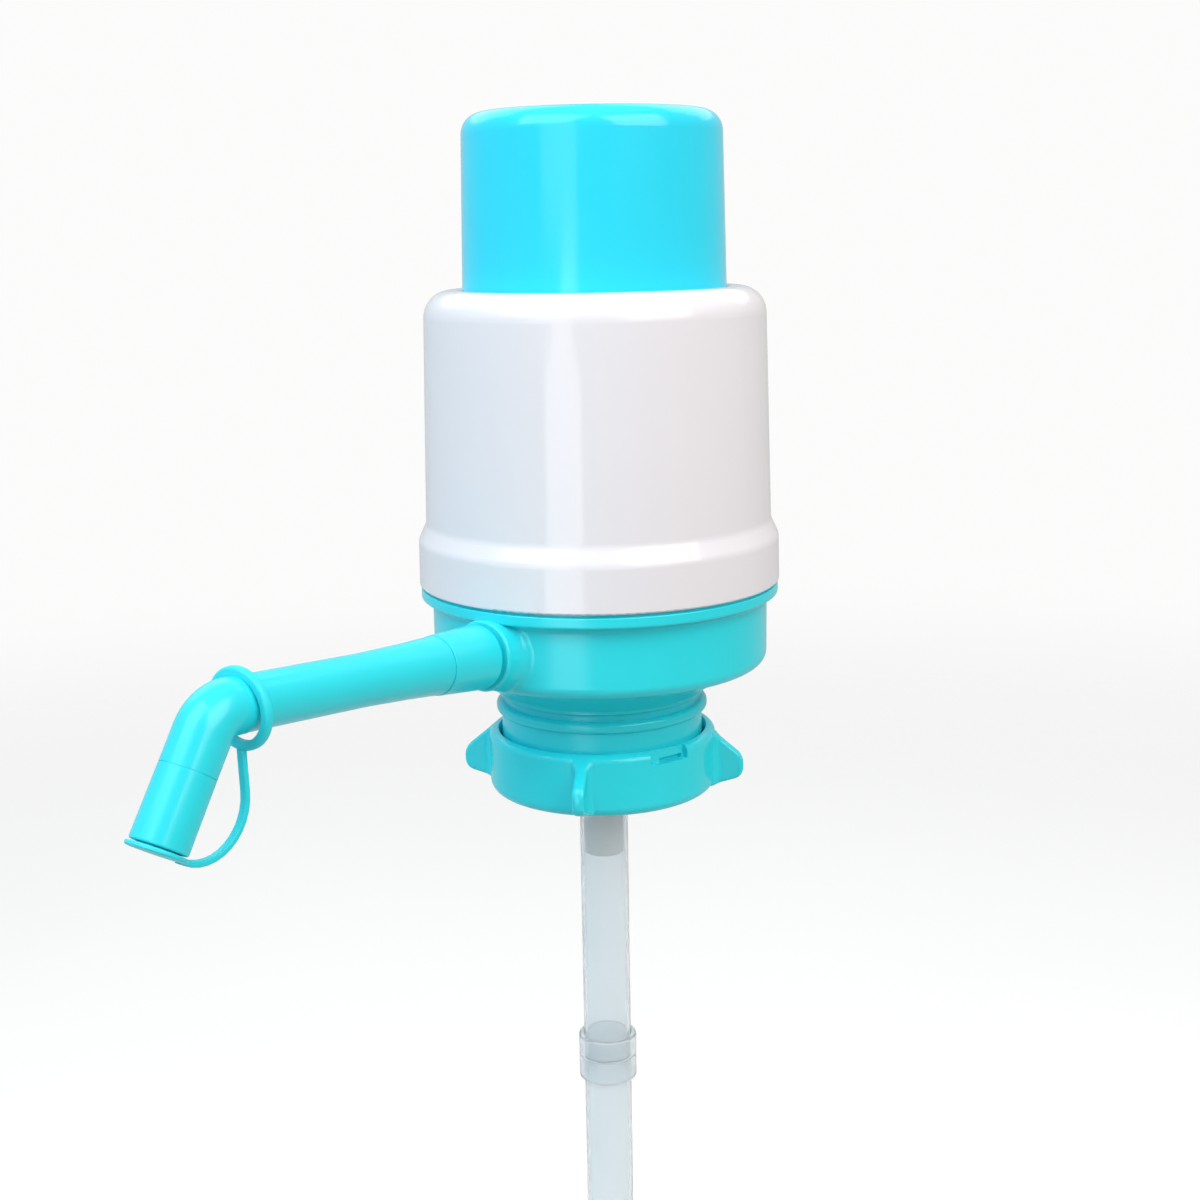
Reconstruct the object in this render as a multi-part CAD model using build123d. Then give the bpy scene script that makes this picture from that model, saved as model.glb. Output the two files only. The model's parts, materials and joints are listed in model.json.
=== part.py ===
from build123d import *
import math
import os

# Hand press pump for a large water bottle, in millimetres.
# The origin is the centre of the plane where the bottle's lip meets the gasket.
# +Z is up along the pump's axis, and the spout points along -Y.

# Bottle neck that the pump fits
crown_d = 55.0            # outside of the neck's crown
crown_clear = 0.4         # room round the crown
neck_wall = 5.0           # wall of the neck at its lip
lip_inset = 0.95          # the gasket reaches this far inside the neck's bore

# Clearances, seams and cuts
clear = 0.3               # between pieces that move past each other
run_clear = 0.05          # radial running fit
snug = 0.05               # push fit between pieces of one body
push_room = 0.1           # radial room of a plug pushed into a tube
seam_gap = 0.8            # shadow line at the shell's foot
overrun = 1.0             # how far a cut runs past the face it opens

# Neck gasket and plug
gasket_t = 2.4
gasket_room = 1.15        # the gasket's rim to the sleeve's bore
plug_plate_t = 2.4
spigot_room = 2.5         # radial room of the spigot in the neck's bore
spigot_wall = 2.2
spigot_h = 7.0
spigot_lead = 0.8
spigot_root_room = 0.55   # the spigot's root to the gasket
air_hole_d = 4.8
air_hole_count = 6
air_hole_share = 0.6      # where the air holes lie between the stem and the spigot
tube_stem_h = 46.0
water_bore_d = 7.8

# Neck skirt: the sleeve that takes the crown and carries the collar's thread
skirt_wall = 1.6
skirt_depth = 14.0
waist_cut = 0.5           # how far the waist lies inside the thread wall
waist_cove_share = 0.9    # cove under the flange, of the flange's width
bead_h = 3.4
bead_rise = 0.8           # middle of the bead above the lip seat
bead_reach = 1.5
bead_edge_share = 0.93    # rounding of the bead, of its reach
skirt_flange_t = 0.8
skirt_flange_reach = 0.7
skirt_spigot_h = 5.4
skirt_spigot_wall = 2.4
skirt_spigot_lap = 3.2    # how far the spigot covers the plug's plate

# Collar nut with wing ears, and the split ring that it draws up
thread_room = 0.5
collar_wall = 3.4         # outside of the thread
collar_h = 18.0
collar_drop = 6.5         # lip seat down to the collar's top edge
collar_edge_share = 0.85  # rounding of the top edge, of its width
collar_foot_r = 3.0
collar_lead = 0.8
collar_lead_h = 2.4
collar_floor_t = 2.5
ear_count = 4
ear_first_deg = 26.0
ear_t = 3.4
ear_reach = 8.6
ear_inset = 0.8           # how far the ears stop short of the collar's edges
ear_tip_half = 4.5
ear_tip_r = 5.6
ear_edge_r = 1.1
notch_w = 13.0
notch_h = 3.6
notch_depth = 1.9
notch_slit_w = 8.6        # slit through the wall at the foot of a notch
notch_slit_h = 1.2
notch_slit_in = 0.7       # slit in from the notch's end
notch_deg = 71.0
notch_count = 2
grip_room = 0.5           # radial room of the crown in the split ring
grip_wall = 2.8
grip_slit = 2.5
grip_bevel = 1.2

# Base housing
base_d = 97.0
base_wall = 2.4
base_floor_rise = 9.0     # the floor climbs this much from the neck to its corner
base_knee_rise = 4.6      # and this much of it up to the knee
base_knee_share = 0.344   # where the knee lies between the neck and the wall
base_knee_r = 5.0
base_corner_r = 3.5
rim_reach = 3.2           # how far the rim stands out from the bowl
rim_h = 2.8
rim_cove_h = 1.4
rim_cove_r = 1.2
rim_edge_r = 0.7
seat_w = 1.1
upstand_h = 8.0
upstand_wall = 2.0
deck_ledge_drop = 4.5     # shell seat down to the ledge under the deck
lug_count = 6
lug_w = 8.0
lug_h = 1.6
lug_reach = 0.8

# Outlet boss on the base, along the spout's axis
spout_rise_deg = 4.6
spout_stand = 15.8        # underside of the base up to the spout's axis, at the pump's axis
boss_head = 6.9           # boss up to the shell's seat, at the pump's axis
boss_wall = 2.95
boss_flare = 2.1          # the boss widens this much to its root
boss_root_in = 5.5        # root of the boss, inside the bowl's wall
boss_neck_out = 3.1       # neck of the boss, outside the bowl's wall
boss_lip = 3.3
boss_inner_wall = 1.75
boss_inner_in = 10.0      # inner end of the boss, inside the bowl's wall
boss_edge_r = 0.8
boss_neck_r = 14.0
boss_root_round = 2.4     # rounding where the boss meets the bowl

# Valve deck, its gasket and the bellows clamp
deck_gasket_t = 1.0
deck_gasket_w = 1.1
deck_t = 2.5
deck_rim_h = 3.2
deck_rim_wall = 1.8
clamp_wall = 1.7
clamp_h = 2.8

# Check valves
valve_d = 18.0
valve_t = 1.0
valve_dome = 0.8
valve_stem_d = 3.9
valve_knob_d = 6.4
valve_knob_h = 2.0
valve_lift = 1.5
vent_d = 3.2
vent_count = 6
vent_circle_d = 12.0

# Bellows and top plate
bellows_room = 2.4        # radial room of the bellows under the cap's crown
bellows_fold = 7.0        # depth of a fold
bellows_folds = 9
bellows_wall = 1.6        # measured level, across a slanting fold
bellows_flange_t = 1.2
bellows_flange_reach = 3.0
plate_t = 2.5
plate_rim_gap = 0.4
plate_ring_h = 4.5
plate_ring_wall = 2.0
plate_notch_count = 6
plate_notch_w = 8.0
plate_notch_depth = 1.8

# Outer shell
shell_h = 83.2
shell_wall = 2.2
shell_overhang = 0.2      # the band stands out this much over the base's rim
shell_flare = 0.2         # the foot stands out this much from the band
shell_band_h = 13.0
shell_step_h = 4.7
shell_step_in = 2.2
shell_draft = 1.6         # the wall leans in this much up to the shoulder
shell_shoulder_w = 10.45
shell_shoulder_share = 0.727   # rounding of the shoulder, of its width
shell_lip_r = 1.2
shell_foot_r = 0.6

# Press cap
cap_stand = 47.9          # how far the cap stands out of the shell
cap_draft = 1.1           # the wall leans in this much up to the crown
cap_wall = 2.2
cap_crown_r = 6.0
cap_guide_gap = 0.45
cap_flange_t = 2.8
cap_flange_reach = 4.3
cap_rib_count = 8
cap_rib_t = 1.6
cap_rib_h = 15.2
cap_rib_inner_d = 22.0
cap_lug_h = 1.5
cap_lug_reach = 0.9
cap_lug_count = 6
cap_lug_w = 9.0

# Water elbow from the dip tube to the boss
elbow_room = 0.15         # radial room of the elbow in the boss
elbow_bend_r = 9.0
elbow_foot_reach = 1.9
elbow_foot_t = 2.0
elbow_lap = 5.5           # how far the elbow goes into the boss

# Dip tube in three lengths with two couplings
tube_d = 14.4
tube_wall = 1.15
tube_top_drop = 0.6       # end of the tube below the plug's plate
tube_joint_1 = 112.0
tube_joint_2 = 278.0
tube_end = 446.0
tube_foot_slant_deg = 30.0
coupling_wall = 1.55
coupling_h = 14.0
coupling_stop_t = 0.8

# Spout tube, in lengths along its axis
spout_spigot_d = 13.4
spout_spigot_gap = 1.0    # end of the elbow to the spigot's end
spout_gap = 1.3           # shadow line between the boss and the sleeve
spout_bore_d = 10.2
spout_root_t = 2.5        # start of the sleeve to the wide bore
spout_sleeve_len = 17.8
spout_taper_len = 12.0
spout_slim_len = 15.0
spout_end_len = 40.5
spout_wall = 1.6          # at the slim end
spout_draft = 0.05        # radial taper of the slim end
spout_taper = 0.45        # radial taper of the middle
spout_neck_in = 0.75      # radial taper behind the sleeve
spout_sleeve_draft = 0.95
spout_step = 0.2
spout_start_r = 0.8
o_ring_t = 1.4
o_ring_in = 5.0           # end of the spigot to the O-ring
o_ring_groove_w = 1.8

# Nozzle elbow and tip
nozzle_step = 0.15        # the nozzle stands out this much from the tube
nozzle_corner_len = 8.2   # end of the tube to the corner of the axes
nozzle_fall_deg = 57.0
nozzle_bend_r = 9.0
nozzle_seam_at = 14.5     # from the corner down to the tip's seam
nozzle_plug_wall = 1.2
nozzle_plug_h = 9.0
tip_len = 17.9
tip_flare = 0.1
tip_edge_r = 0.5

# Stopper: ring on the spout, strap and plug
stopper_ring_in = 0.4     # end of the tube back to the ring's middle
stopper_ring_drop = 0.9   # the ring hangs this much below the tube's axis
stopper_ring_room = 1.4
stopper_ring_w = 1.95
stopper_ring_t = 2.3
stopper_ring_edge_r = 0.75
stopper_ring_lean_deg = 6.0
strap_w = 2.2
strap_t = 1.6
strap_root_drop = 0.2
strap_back = 1.0          # the strap's root back to the corner of its bend
strap_bend_share = 0.97   # bend of the strap, of the widest that fits
stopper_flange_reach = 0.4
stopper_flange_t = 1.1
stopper_seat_gap = 0.4
stopper_room = 0.2
stopper_wall = 1.8
stopper_body_h = 8.0
stopper_body_lead = 1.2

# Radii and widths that follow the bottle's neck
neck_bore_d = crown_d - 2 * neck_wall
crown_bore_r = crown_d / 2 + crown_clear
gasket_in_r = neck_bore_d / 2 - lip_inset
gasket_out_r = crown_bore_r - gasket_room
spigot_d = neck_bore_d - 2 * spigot_room
skirt_d = 2 * (crown_bore_r + skirt_wall)
waist_d = skirt_d - 2 * waist_cut
bead_d = skirt_d + 2 * bead_reach
skirt_flange_d = skirt_d + 2 * skirt_flange_reach
skirt_spigot_in_r = gasket_out_r - skirt_spigot_lap
skirt_spigot_r = skirt_spigot_in_r + skirt_spigot_wall
base_bore_r = skirt_spigot_r + snug
thread_r = skirt_d / 2 + thread_room
collar_d = 2 * (thread_r + collar_wall)
collar_mouth_d = 2 * (thread_r + collar_lead)
collar_top_r = collar_edge_share * (collar_wall - collar_lead)
grip_bore_d = crown_d + 2 * grip_room
grip_d = grip_bore_d + 2 * grip_wall

# Radii and widths that follow the body, from the base up to the cap and the bellows inside it
base_in_r = base_d / 2 - base_wall
rim_d = base_d + 2 * rim_reach
shell_band_d = rim_d + 2 * shell_overhang
shell_foot_d = shell_band_d + 2 * shell_flare
shell_low_d = shell_band_d - 2 * shell_step_in
shell_top_d = shell_low_d - 2 * shell_draft
shell_shoulder_r = shell_shoulder_share * shell_shoulder_w
mouth_r = shell_top_d / 2 - shell_shoulder_w
cap_d = 2 * (mouth_r - cap_guide_gap)
cap_top_d = cap_d - 2 * cap_draft
cap_flange_d = cap_d + 2 * cap_flange_reach
cap_slope_share = cap_draft / (cap_stand + shell_wall)
bellows_d = cap_top_d - 2 * cap_wall - 2 * bellows_room
bellows_flange_d = bellows_d + 2 * bellows_flange_reach
upstand_r = shell_band_d / 2 - shell_wall - clear
upstand_in_r = upstand_r - upstand_wall
deck_r = upstand_in_r - snug
clamp_in_r = bellows_d / 2 + clear
clamp_r = bellows_flange_d / 2 + snug + clamp_wall

# Diameters that follow the spout and the tube
boss_bore_d = spout_spigot_d + 2 * run_clear
boss_d = boss_bore_d + 2 * boss_wall
boss_inner_d = boss_bore_d + 2 * boss_inner_wall
elbow_d = boss_bore_d - 2 * elbow_room
tube_bore_d = tube_d - 2 * tube_wall
tube_stem_d = tube_bore_d - 2 * snug
coupling_bore_d = tube_d + 2 * snug
spout_end_d = spout_bore_d + 2 * spout_wall
spout_slim_d = spout_end_d + 2 * spout_draft
spout_taper_d = spout_slim_d + 2 * spout_taper
spout_sleeve_end_d = spout_taper_d + 2 * spout_neck_in
spout_sleeve_d = spout_sleeve_end_d + 2 * spout_sleeve_draft
nozzle_d = spout_end_d + 2 * nozzle_step
nozzle_plug_d = spout_bore_d - 2 * push_room
nozzle_bore_d = nozzle_plug_d - 2 * nozzle_plug_wall
tip_bore_d = nozzle_plug_d + 2 * push_room
tip_end_d = nozzle_d + 2 * tip_flare
stopper_ring_bore_d = spout_end_d + 2 * stopper_ring_room
stopper_ring_d = stopper_ring_bore_d + 2 * stopper_ring_w
stopper_flange_d = tip_end_d + 2 * stopper_flange_reach
stopper_body_d = tip_bore_d - 2 * stopper_room
stopper_core_d = stopper_body_d - 2 * stopper_wall

# Levels along the pump's axis
plate_top = gasket_t + plug_plate_t
base_bottom = plate_top + skirt_flange_t
base_floor_top = base_bottom + base_wall
spout_z = base_bottom + spout_stand
shell_seat = spout_z + boss_d / 2 + boss_head
rim_top = shell_seat - seam_gap
deck_ledge = shell_seat - deck_ledge_drop
deck_bottom = deck_ledge + deck_gasket_t
deck_top = deck_bottom + deck_t
upstand_top = shell_seat + upstand_h
shell_top = shell_seat + shell_h
cap_top = shell_top + cap_stand
cap_under = cap_top - cap_wall
cap_flange_top = shell_top - shell_wall - clear
cap_flange_low = cap_flange_top - cap_flange_t
plate_high = cap_under - cap_rib_h
plate_low = plate_high - plate_t
collar_top = -collar_drop
collar_low = collar_top - collar_h
collar_floor = collar_low + collar_floor_t

# Places along the spout's axis, from the pump's axis outward, and down the nozzle
boss_inner_at = base_d / 2 - boss_inner_in
boss_root_at = base_d / 2 - boss_root_in
boss_neck_at = base_d / 2 + boss_neck_out
boss_end_at = boss_neck_at + boss_lip
elbow_end_at = boss_inner_at + elbow_lap
spout_spigot_at = elbow_end_at + spout_spigot_gap
o_ring_at = spout_spigot_at + o_ring_in
spout_start_at = boss_end_at + spout_gap
spout_bore_from = spout_start_at + spout_root_t
spout_sleeve_at = spout_start_at + spout_sleeve_len
spout_taper_at = spout_sleeve_at + spout_taper_len
spout_slim_at = spout_taper_at + spout_slim_len
spout_end_at = spout_slim_at + spout_end_len
stopper_ring_at = spout_end_at - stopper_ring_in
nozzle_corner_at = spout_end_at + nozzle_corner_len
nozzle_end_at = nozzle_seam_at + tip_len


def corner_points(corners):
    """Outline corners (r, z) or (r, z, rounding) as points in the XZ plane."""
    return [(corner[0], 0, corner[1]) for corner in corners]


def corner_radii(corners):
    """The rounding of each outline corner, zero where it is sharp."""
    return [corner[2] if len(corner) > 2 else 0 for corner in corners]


def turned(*corners):
    """Solid of revolution about Z from a closed outline of (r, z) corners."""
    path = FilletPolyline(*corner_points(corners), radius=corner_radii(corners), close=True)
    return revolve(make_face(path), Axis.Z)


def ring(inner_r, outer_r, low, high):
    """Plain ring about Z between two radii and two levels."""
    return turned((inner_r, low), (outer_r, low), (outer_r, high), (inner_r, high))


def rod(radius, low, high):
    """Plain round rod about Z between two levels."""
    return turned((0, low), (radius, low), (radius, high), (0, high))


def around(shape, count, first_deg=0):
    """Copies of a shape spread evenly about Z, the first turned by first_deg."""
    return [Rot(0, 0, first_deg + 360 * i / count) * shape for i in range(count)]


def block(x_low, x_high, y_low, y_high, z_low, z_high):
    """Upright block between the given faces."""
    middle = ((x_low + x_high) / 2, (y_low + y_high) / 2, (z_low + z_high) / 2)
    return Pos(*middle) * Box(x_high - x_low, y_high - y_low, z_high - z_low)


# Frames of the tilted pieces: local Z runs along the spout or down the nozzle
rise = math.radians(spout_rise_deg)
fall = math.radians(nozzle_fall_deg)
spout_dir = Vector(0, -math.cos(rise), math.sin(rise))
nozzle_dir = Vector(0, -math.cos(fall), -math.sin(fall))
spout_origin = Vector(0, 0, spout_z)
nozzle_origin = spout_origin + spout_dir * nozzle_corner_at
spout_place = Plane(origin=spout_origin, x_dir=(1, 0, 0), z_dir=spout_dir).location
nozzle_place = Plane(origin=nozzle_origin, x_dir=(1, 0, 0), z_dir=nozzle_dir).location
ring_place = spout_place * Pos(0, -stopper_ring_drop, stopper_ring_at) * Rot(stopper_ring_lean_deg, 0, 0)


def make_lip_gasket():
    """Soft flat ring between the bottle's lip and the plug's plate."""
    return ring(gasket_in_r, gasket_out_r, 0, gasket_t)


def make_neck_plug():
    """Plate over the bottle's mouth, with the centring spigot and the stem of the dip tube."""
    out_r = spigot_d / 2
    in_r = out_r - spigot_wall
    root_r = gasket_in_r - spigot_root_room
    stem_r = tube_stem_d / 2
    low = -spigot_h - spigot_lead
    plate = rod(gasket_out_r, gasket_t, plate_top)
    skirt = turned(
        (in_r, low),
        (out_r - spigot_lead, low),
        (out_r, -spigot_h),
        (out_r, 0),
        (root_r, 0),
        (root_r, gasket_t),
        (in_r, gasket_t),
    )
    stem = turned(
        (0, -tube_stem_h),
        (stem_r - spigot_lead, -tube_stem_h),
        (stem_r, -tube_stem_h + spigot_lead),
        (stem_r, gasket_t),
        (0, gasket_t),
    )
    bore = rod(water_bore_d / 2, -tube_stem_h - overrun, plate_top + overrun)
    hole_at = stem_r + air_hole_share * (in_r - stem_r)
    hole = Pos(hole_at, 0, 0) * rod(air_hole_d / 2, gasket_t - overrun, plate_top + overrun)
    return plate + skirt + stem - bore - around(hole, air_hole_count, 180 / air_hole_count)


def make_neck_skirt():
    """Sleeve that takes the crown: waist, bead, thread wall and the spigot up into the base."""
    low = -skirt_depth
    waist_r = waist_d / 2
    plate_r = gasket_out_r + snug
    ledge = gasket_t / 4
    flange_low = base_bottom - skirt_flange_t
    bead_low = bead_rise - bead_h / 2
    bead_high = bead_rise + bead_h / 2
    bead_edge_r = bead_edge_share * bead_reach
    cove_r = waist_cove_share * (skirt_flange_d / 2 - waist_r)
    return turned(
        (crown_bore_r, low),
        (skirt_d / 2, low),
        (skirt_d / 2, bead_low),
        (bead_d / 2, bead_low, bead_edge_r),
        (bead_d / 2, bead_high, bead_edge_r),
        (waist_r, bead_high),
        (waist_r, flange_low, cove_r),
        (skirt_flange_d / 2, flange_low),
        (skirt_flange_d / 2, base_bottom),
        (skirt_spigot_r, base_bottom),
        (skirt_spigot_r, base_bottom + skirt_spigot_h),
        (skirt_spigot_in_r, base_bottom + skirt_spigot_h),
        (skirt_spigot_in_r, plate_top),
        (plate_r, plate_top),
        (plate_r, ledge),
        (crown_bore_r, ledge),
    )


def make_grip_ring():
    """Split ring that the collar draws up under the crown."""
    low = collar_floor + run_clear
    high = -skirt_depth - run_clear
    whole = turned(
        (grip_bore_d / 2, low),
        (grip_d / 2, low),
        (grip_d / 2, high - grip_bevel),
        (grip_d / 2 - grip_bevel, high),
        (grip_bore_d / 2, high),
    )
    slit = block(-grip_slit / 2, grip_slit / 2, 0, grip_d, low - overrun, high + overrun)
    return whole - slit


def make_ear():
    """One wing ear of the collar, a rounded triangle that stands out along -Y."""
    wall = collar_d / 2
    root = wall - collar_wall / 2
    tip = wall + ear_reach
    middle = collar_top - collar_h / 2
    half_h = collar_h / 2 - ear_inset
    path = FilletPolyline(
        (0, -root, middle + half_h),
        (0, -wall, middle + half_h),
        (0, -tip, middle + ear_tip_half),
        (0, -tip, middle - ear_tip_half),
        (0, -wall, middle - half_h),
        (0, -root, middle - half_h),
        radius=[0, ear_tip_r, ear_tip_r, ear_tip_r, ear_tip_r, 0],
        close=True,
    )
    fin = extrude(make_face(path), ear_t / 2, dir=(1, 0, 0), both=True)
    sides = [face.center().X for face in fin.faces().filter_by(Axis.X)]
    edges = [e for e in fin.edges() if abs(abs(e.center().X) - max(sides)) < snug and e.center().Y < -root]
    return fillet(edges, ear_edge_r)


def make_collar_nut():
    """Collar nut: thread wall, pocket for the split ring, ears and rim notches."""
    out_r = collar_d / 2
    floor_bore_r = grip_bore_d / 2 + clear
    pocket_r = grip_d / 2 + clear
    thread_low = -skirt_depth - run_clear
    body = turned(
        (floor_bore_r, collar_low),
        (out_r, collar_low, collar_foot_r),
        (out_r, collar_top, collar_top_r),
        (collar_mouth_d / 2, collar_top),
        (thread_r, collar_top - collar_lead_h),
        (thread_r, thread_low),
        (pocket_r, thread_low),
        (pocket_r, collar_floor),
        (floor_bore_r, collar_floor),
    )
    notch_low = collar_top - notch_h
    notch = block(
        -notch_w / 2, notch_w / 2, -out_r - overrun, notch_depth - out_r, notch_low, collar_top + overrun
    )
    slit_end = notch_w / 2 - notch_slit_in
    slit = block(
        slit_end - notch_slit_w, slit_end, -out_r - overrun, -thread_r / 2, notch_low, notch_low + notch_slit_h
    )
    bore = rod(thread_r, collar_low, collar_top + overrun)
    ears = [ear - bore for ear in around(make_ear(), ear_count, ear_first_deg)]
    return body + ears - around(notch, notch_count, notch_deg) - around(slit, notch_count, notch_deg)


def round_the_root(bowl, drum, boss):
    """Bowl and boss with a rounded root, or a sharp one at a size where the rounding doesn't fit."""
    plain = bowl + boss
    joined = drum + boss
    try:
        rooted = fillet(new_edges(drum, boss, combined=joined), boss_root_round)
    except ValueError:
        return plain
    rounded = plain + (rooted - rod(rim_d, rim_top, upstand_top + overrun))
    return rounded if rounded.volume > plain.volume else plain


def make_base_housing():
    """Turquoise bowl with the rim that carries the shell and the boss of the spout."""
    out_r = base_d / 2
    flange_r = skirt_flange_d / 2
    knee_r = flange_r + base_knee_share * (out_r - flange_r)
    cove_low = rim_top - rim_h - rim_cove_h
    underside = (
        (0, base_bottom),
        (flange_r, base_bottom),
        (knee_r, base_bottom + base_knee_rise, base_knee_r),
        (out_r, base_bottom + base_floor_rise, base_corner_r),
    )
    bowl = turned(
        *underside,
        (out_r, cove_low, rim_cove_r),
        (rim_d / 2, rim_top - rim_h, rim_edge_r),
        (rim_d / 2, rim_top, rim_edge_r / 2),
        (upstand_r + seat_w, rim_top),
        (upstand_r + seat_w, shell_seat),
        (upstand_r, shell_seat),
        (upstand_r, upstand_top, rim_edge_r),
        (0, upstand_top),
    )
    chamber = turned(
        (0, base_floor_top),
        (flange_r, base_floor_top),
        (knee_r, base_floor_top + base_knee_rise),
        (base_in_r, base_floor_top + base_floor_rise, base_corner_r - base_wall),
        (base_in_r, deck_ledge),
        (0, deck_ledge),
    )
    deck_space = rod(upstand_in_r, deck_ledge, upstand_top + overrun)
    boss_root_r = boss_d / 2 + boss_flare
    boss = spout_place * turned(
        (0, boss_root_at - base_wall),
        (boss_root_r, boss_root_at - base_wall),
        (boss_root_r, boss_root_at),
        (boss_d / 2, boss_neck_at, boss_neck_r),
        (boss_d / 2, boss_end_at, boss_edge_r),
        (0, boss_end_at),
    )
    socket = rod(boss_inner_d / 2, boss_inner_at, boss_neck_at)
    bore = rod(boss_bore_d / 2, boss_inner_at - overrun, boss_end_at + overrun)
    neck_hole = rod(base_bore_r, base_bottom - overrun, base_floor_top + overrun)
    lug_in_r = upstand_in_r - lug_reach
    lug_out_r = upstand_in_r + upstand_wall / 2
    lug = block(-lug_w / 2, lug_w / 2, lug_in_r, lug_out_r, deck_top, deck_top + lug_h)
    drum = turned(*underside, (out_r, upstand_top), (0, upstand_top))
    walls = round_the_root(bowl, drum, boss) - chamber
    housing = walls + spout_place * socket - deck_space - spout_place * bore - neck_hole
    return housing + around(lug, lug_count, 180 / lug_count)


def make_outer_shell():
    """White shell: foot band, stepped wall and rounded shoulder round the cap's mouth."""
    step_top = shell_seat + shell_band_h + shell_step_h
    band_top = shell_seat + shell_band_h
    foot_in = shell_band_d / 2 - shell_wall
    low_r = shell_low_d / 2
    top_r = shell_top_d / 2
    return turned(
        (foot_in, shell_seat),
        (shell_foot_d / 2, shell_seat, shell_foot_r),
        (shell_band_d / 2, band_top, shell_shoulder_r / 2),
        (low_r, step_top, shell_shoulder_r / 2),
        (top_r, shell_top, shell_shoulder_r),
        (mouth_r, shell_top, shell_lip_r),
        (mouth_r, shell_top - shell_wall),
        (top_r - shell_wall, shell_top - shell_wall, shell_shoulder_r - shell_wall),
        (low_r - shell_wall, step_top),
        (foot_in, band_top),
    )


def make_press_cap():
    """Sliding cap with the stop flange inside the shell and the ribs that bear on the plate."""
    low_r = cap_d / 2
    top_r = cap_top_d / 2
    rib_r = top_r - cap_wall / 2
    cup = turned(
        (0, cap_top),
        (top_r, cap_top, cap_crown_r),
        (low_r, cap_flange_top),
        (cap_flange_d / 2, cap_flange_top),
        (cap_flange_d / 2, cap_flange_low),
        (low_r - cap_wall, cap_flange_low),
        (top_r - cap_wall, cap_under, cap_crown_r - cap_wall),
        (0, cap_under),
    )
    rib_top = cap_under + cap_wall / 2
    hollow = turned((0, rib_top), (rib_r, rib_top, cap_crown_r - cap_wall / 2), (rib_r, plate_high), (0, plate_high))
    rib = hollow & block(-cap_rib_t / 2, cap_rib_t / 2, cap_rib_inner_d / 2, rib_r, plate_high, rib_top)
    lug_in_r = plate_rim_r() - cap_lug_reach
    lug_out_r = cap_inner_r(plate_low) + cap_wall / 2
    lug_low = plate_low - cap_lug_h
    lug = block(-cap_lug_w / 2, cap_lug_w / 2, lug_in_r, lug_out_r, lug_low, plate_low)
    hub = ring(cap_rib_inner_d / 2, cap_rib_inner_d / 2 + cap_rib_t, plate_high, rib_top)
    return cup + around(rib, cap_rib_count) + hub + around(lug, cap_lug_count, 180 / cap_lug_count)


def cap_inner_r(level):
    """Inside radius of the sloping cap at a level."""
    return cap_top_d / 2 - cap_wall + (cap_top - level) * cap_slope_share


def plate_rim_r():
    """Radius of the bellows plate, which clears the inside of the cap."""
    return cap_inner_r(plate_high) - plate_rim_gap


def vents(low, high):
    """Cutters for a valve seat: the stem hole and the ring of vents."""
    stem = rod(valve_stem_d / 2 + run_clear, low - overrun, high + overrun)
    vent = Pos(vent_circle_d / 2, 0, 0) * rod(vent_d / 2, low - overrun, high + overrun)
    return [stem] + around(vent, vent_count, 180 / vent_count)


def make_bellows_top_plate():
    """Plate under the cap: closes the bellows, holds the inlet valve and lets air past its rim."""
    rim_r = plate_rim_r()
    ring_r = bellows_d / 2 - bellows_fold - bellows_wall - clear
    plate = rod(rim_r, plate_low, plate_high)
    collar = ring(ring_r - plate_ring_wall, ring_r, plate_low - plate_ring_h, plate_low)
    notch = block(
        -plate_notch_w / 2, plate_notch_w / 2, rim_r - plate_notch_depth, rim_r + overrun,
        plate_low - overrun, plate_high + overrun,
    )
    return plate + collar - vents(plate_low, plate_high) - around(notch, plate_notch_count)


def make_valve(seat_low, seat_high):
    """Umbrella check valve: a soft disc under its seat, on a stem with a retaining knob."""
    disc_top = seat_low - run_clear
    knob_low = seat_high + valve_lift + run_clear
    stem_r = valve_stem_d / 2
    return turned(
        (0, disc_top - valve_t - valve_dome),
        (stem_r, disc_top - valve_t - valve_dome),
        (valve_d / 2, disc_top - valve_t / 2),
        (valve_d / 2, disc_top),
        (stem_r, disc_top),
        (stem_r, knob_low),
        (valve_knob_d / 2, knob_low),
        (stem_r, knob_low + valve_knob_h),
        (0, knob_low + valve_knob_h),
    )


def make_bellows():
    """Moulded bellows: a foot flange, folds and a top flange against the plate."""
    low = deck_top + bellows_flange_t
    high = plate_low - bellows_flange_t
    half_fold = (high - low) / (2 * bellows_folds)
    peak = bellows_d / 2
    valley = peak - bellows_fold
    outside = [(peak if i % 2 else valley, low + i * half_fold) for i in range(2 * bellows_folds + 1)]
    inside = [(r - bellows_wall, z) for r, z in reversed(outside)]
    foot = [(valley - bellows_wall, deck_top), (bellows_flange_d / 2, deck_top), (bellows_flange_d / 2, low)]
    head = [(peak, high), (peak, plate_low), (valley - bellows_wall, plate_low)]
    return turned(*foot, *outside, *head, *inside[1:-1])


def make_bellows_clamp_ring():
    """Ring that holds the foot of the bellows down on the deck."""
    flange_top = deck_top + bellows_flange_t
    return turned(
        (clamp_r - clamp_wall, deck_top),
        (clamp_r, deck_top),
        (clamp_r, flange_top + clamp_h),
        (clamp_in_r, flange_top + clamp_h, clamp_h / 3),
        (clamp_in_r, flange_top),
        (clamp_r - clamp_wall, flange_top),
    )


def make_valve_deck():
    """Deck that closes the air chamber, with the outlet valve's seat and the clamp's rim."""
    rim_in_r = clamp_r + snug
    disc = rod(deck_r, deck_bottom, deck_top)
    rim = ring(rim_in_r, rim_in_r + deck_rim_wall, deck_top, deck_top + deck_rim_h)
    return disc + rim - vents(deck_bottom, deck_top)


def make_deck_gasket():
    """Flat gasket between the deck and its ledge in the base."""
    return ring(deck_r - deck_gasket_w, deck_r, deck_ledge, deck_bottom)


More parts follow.
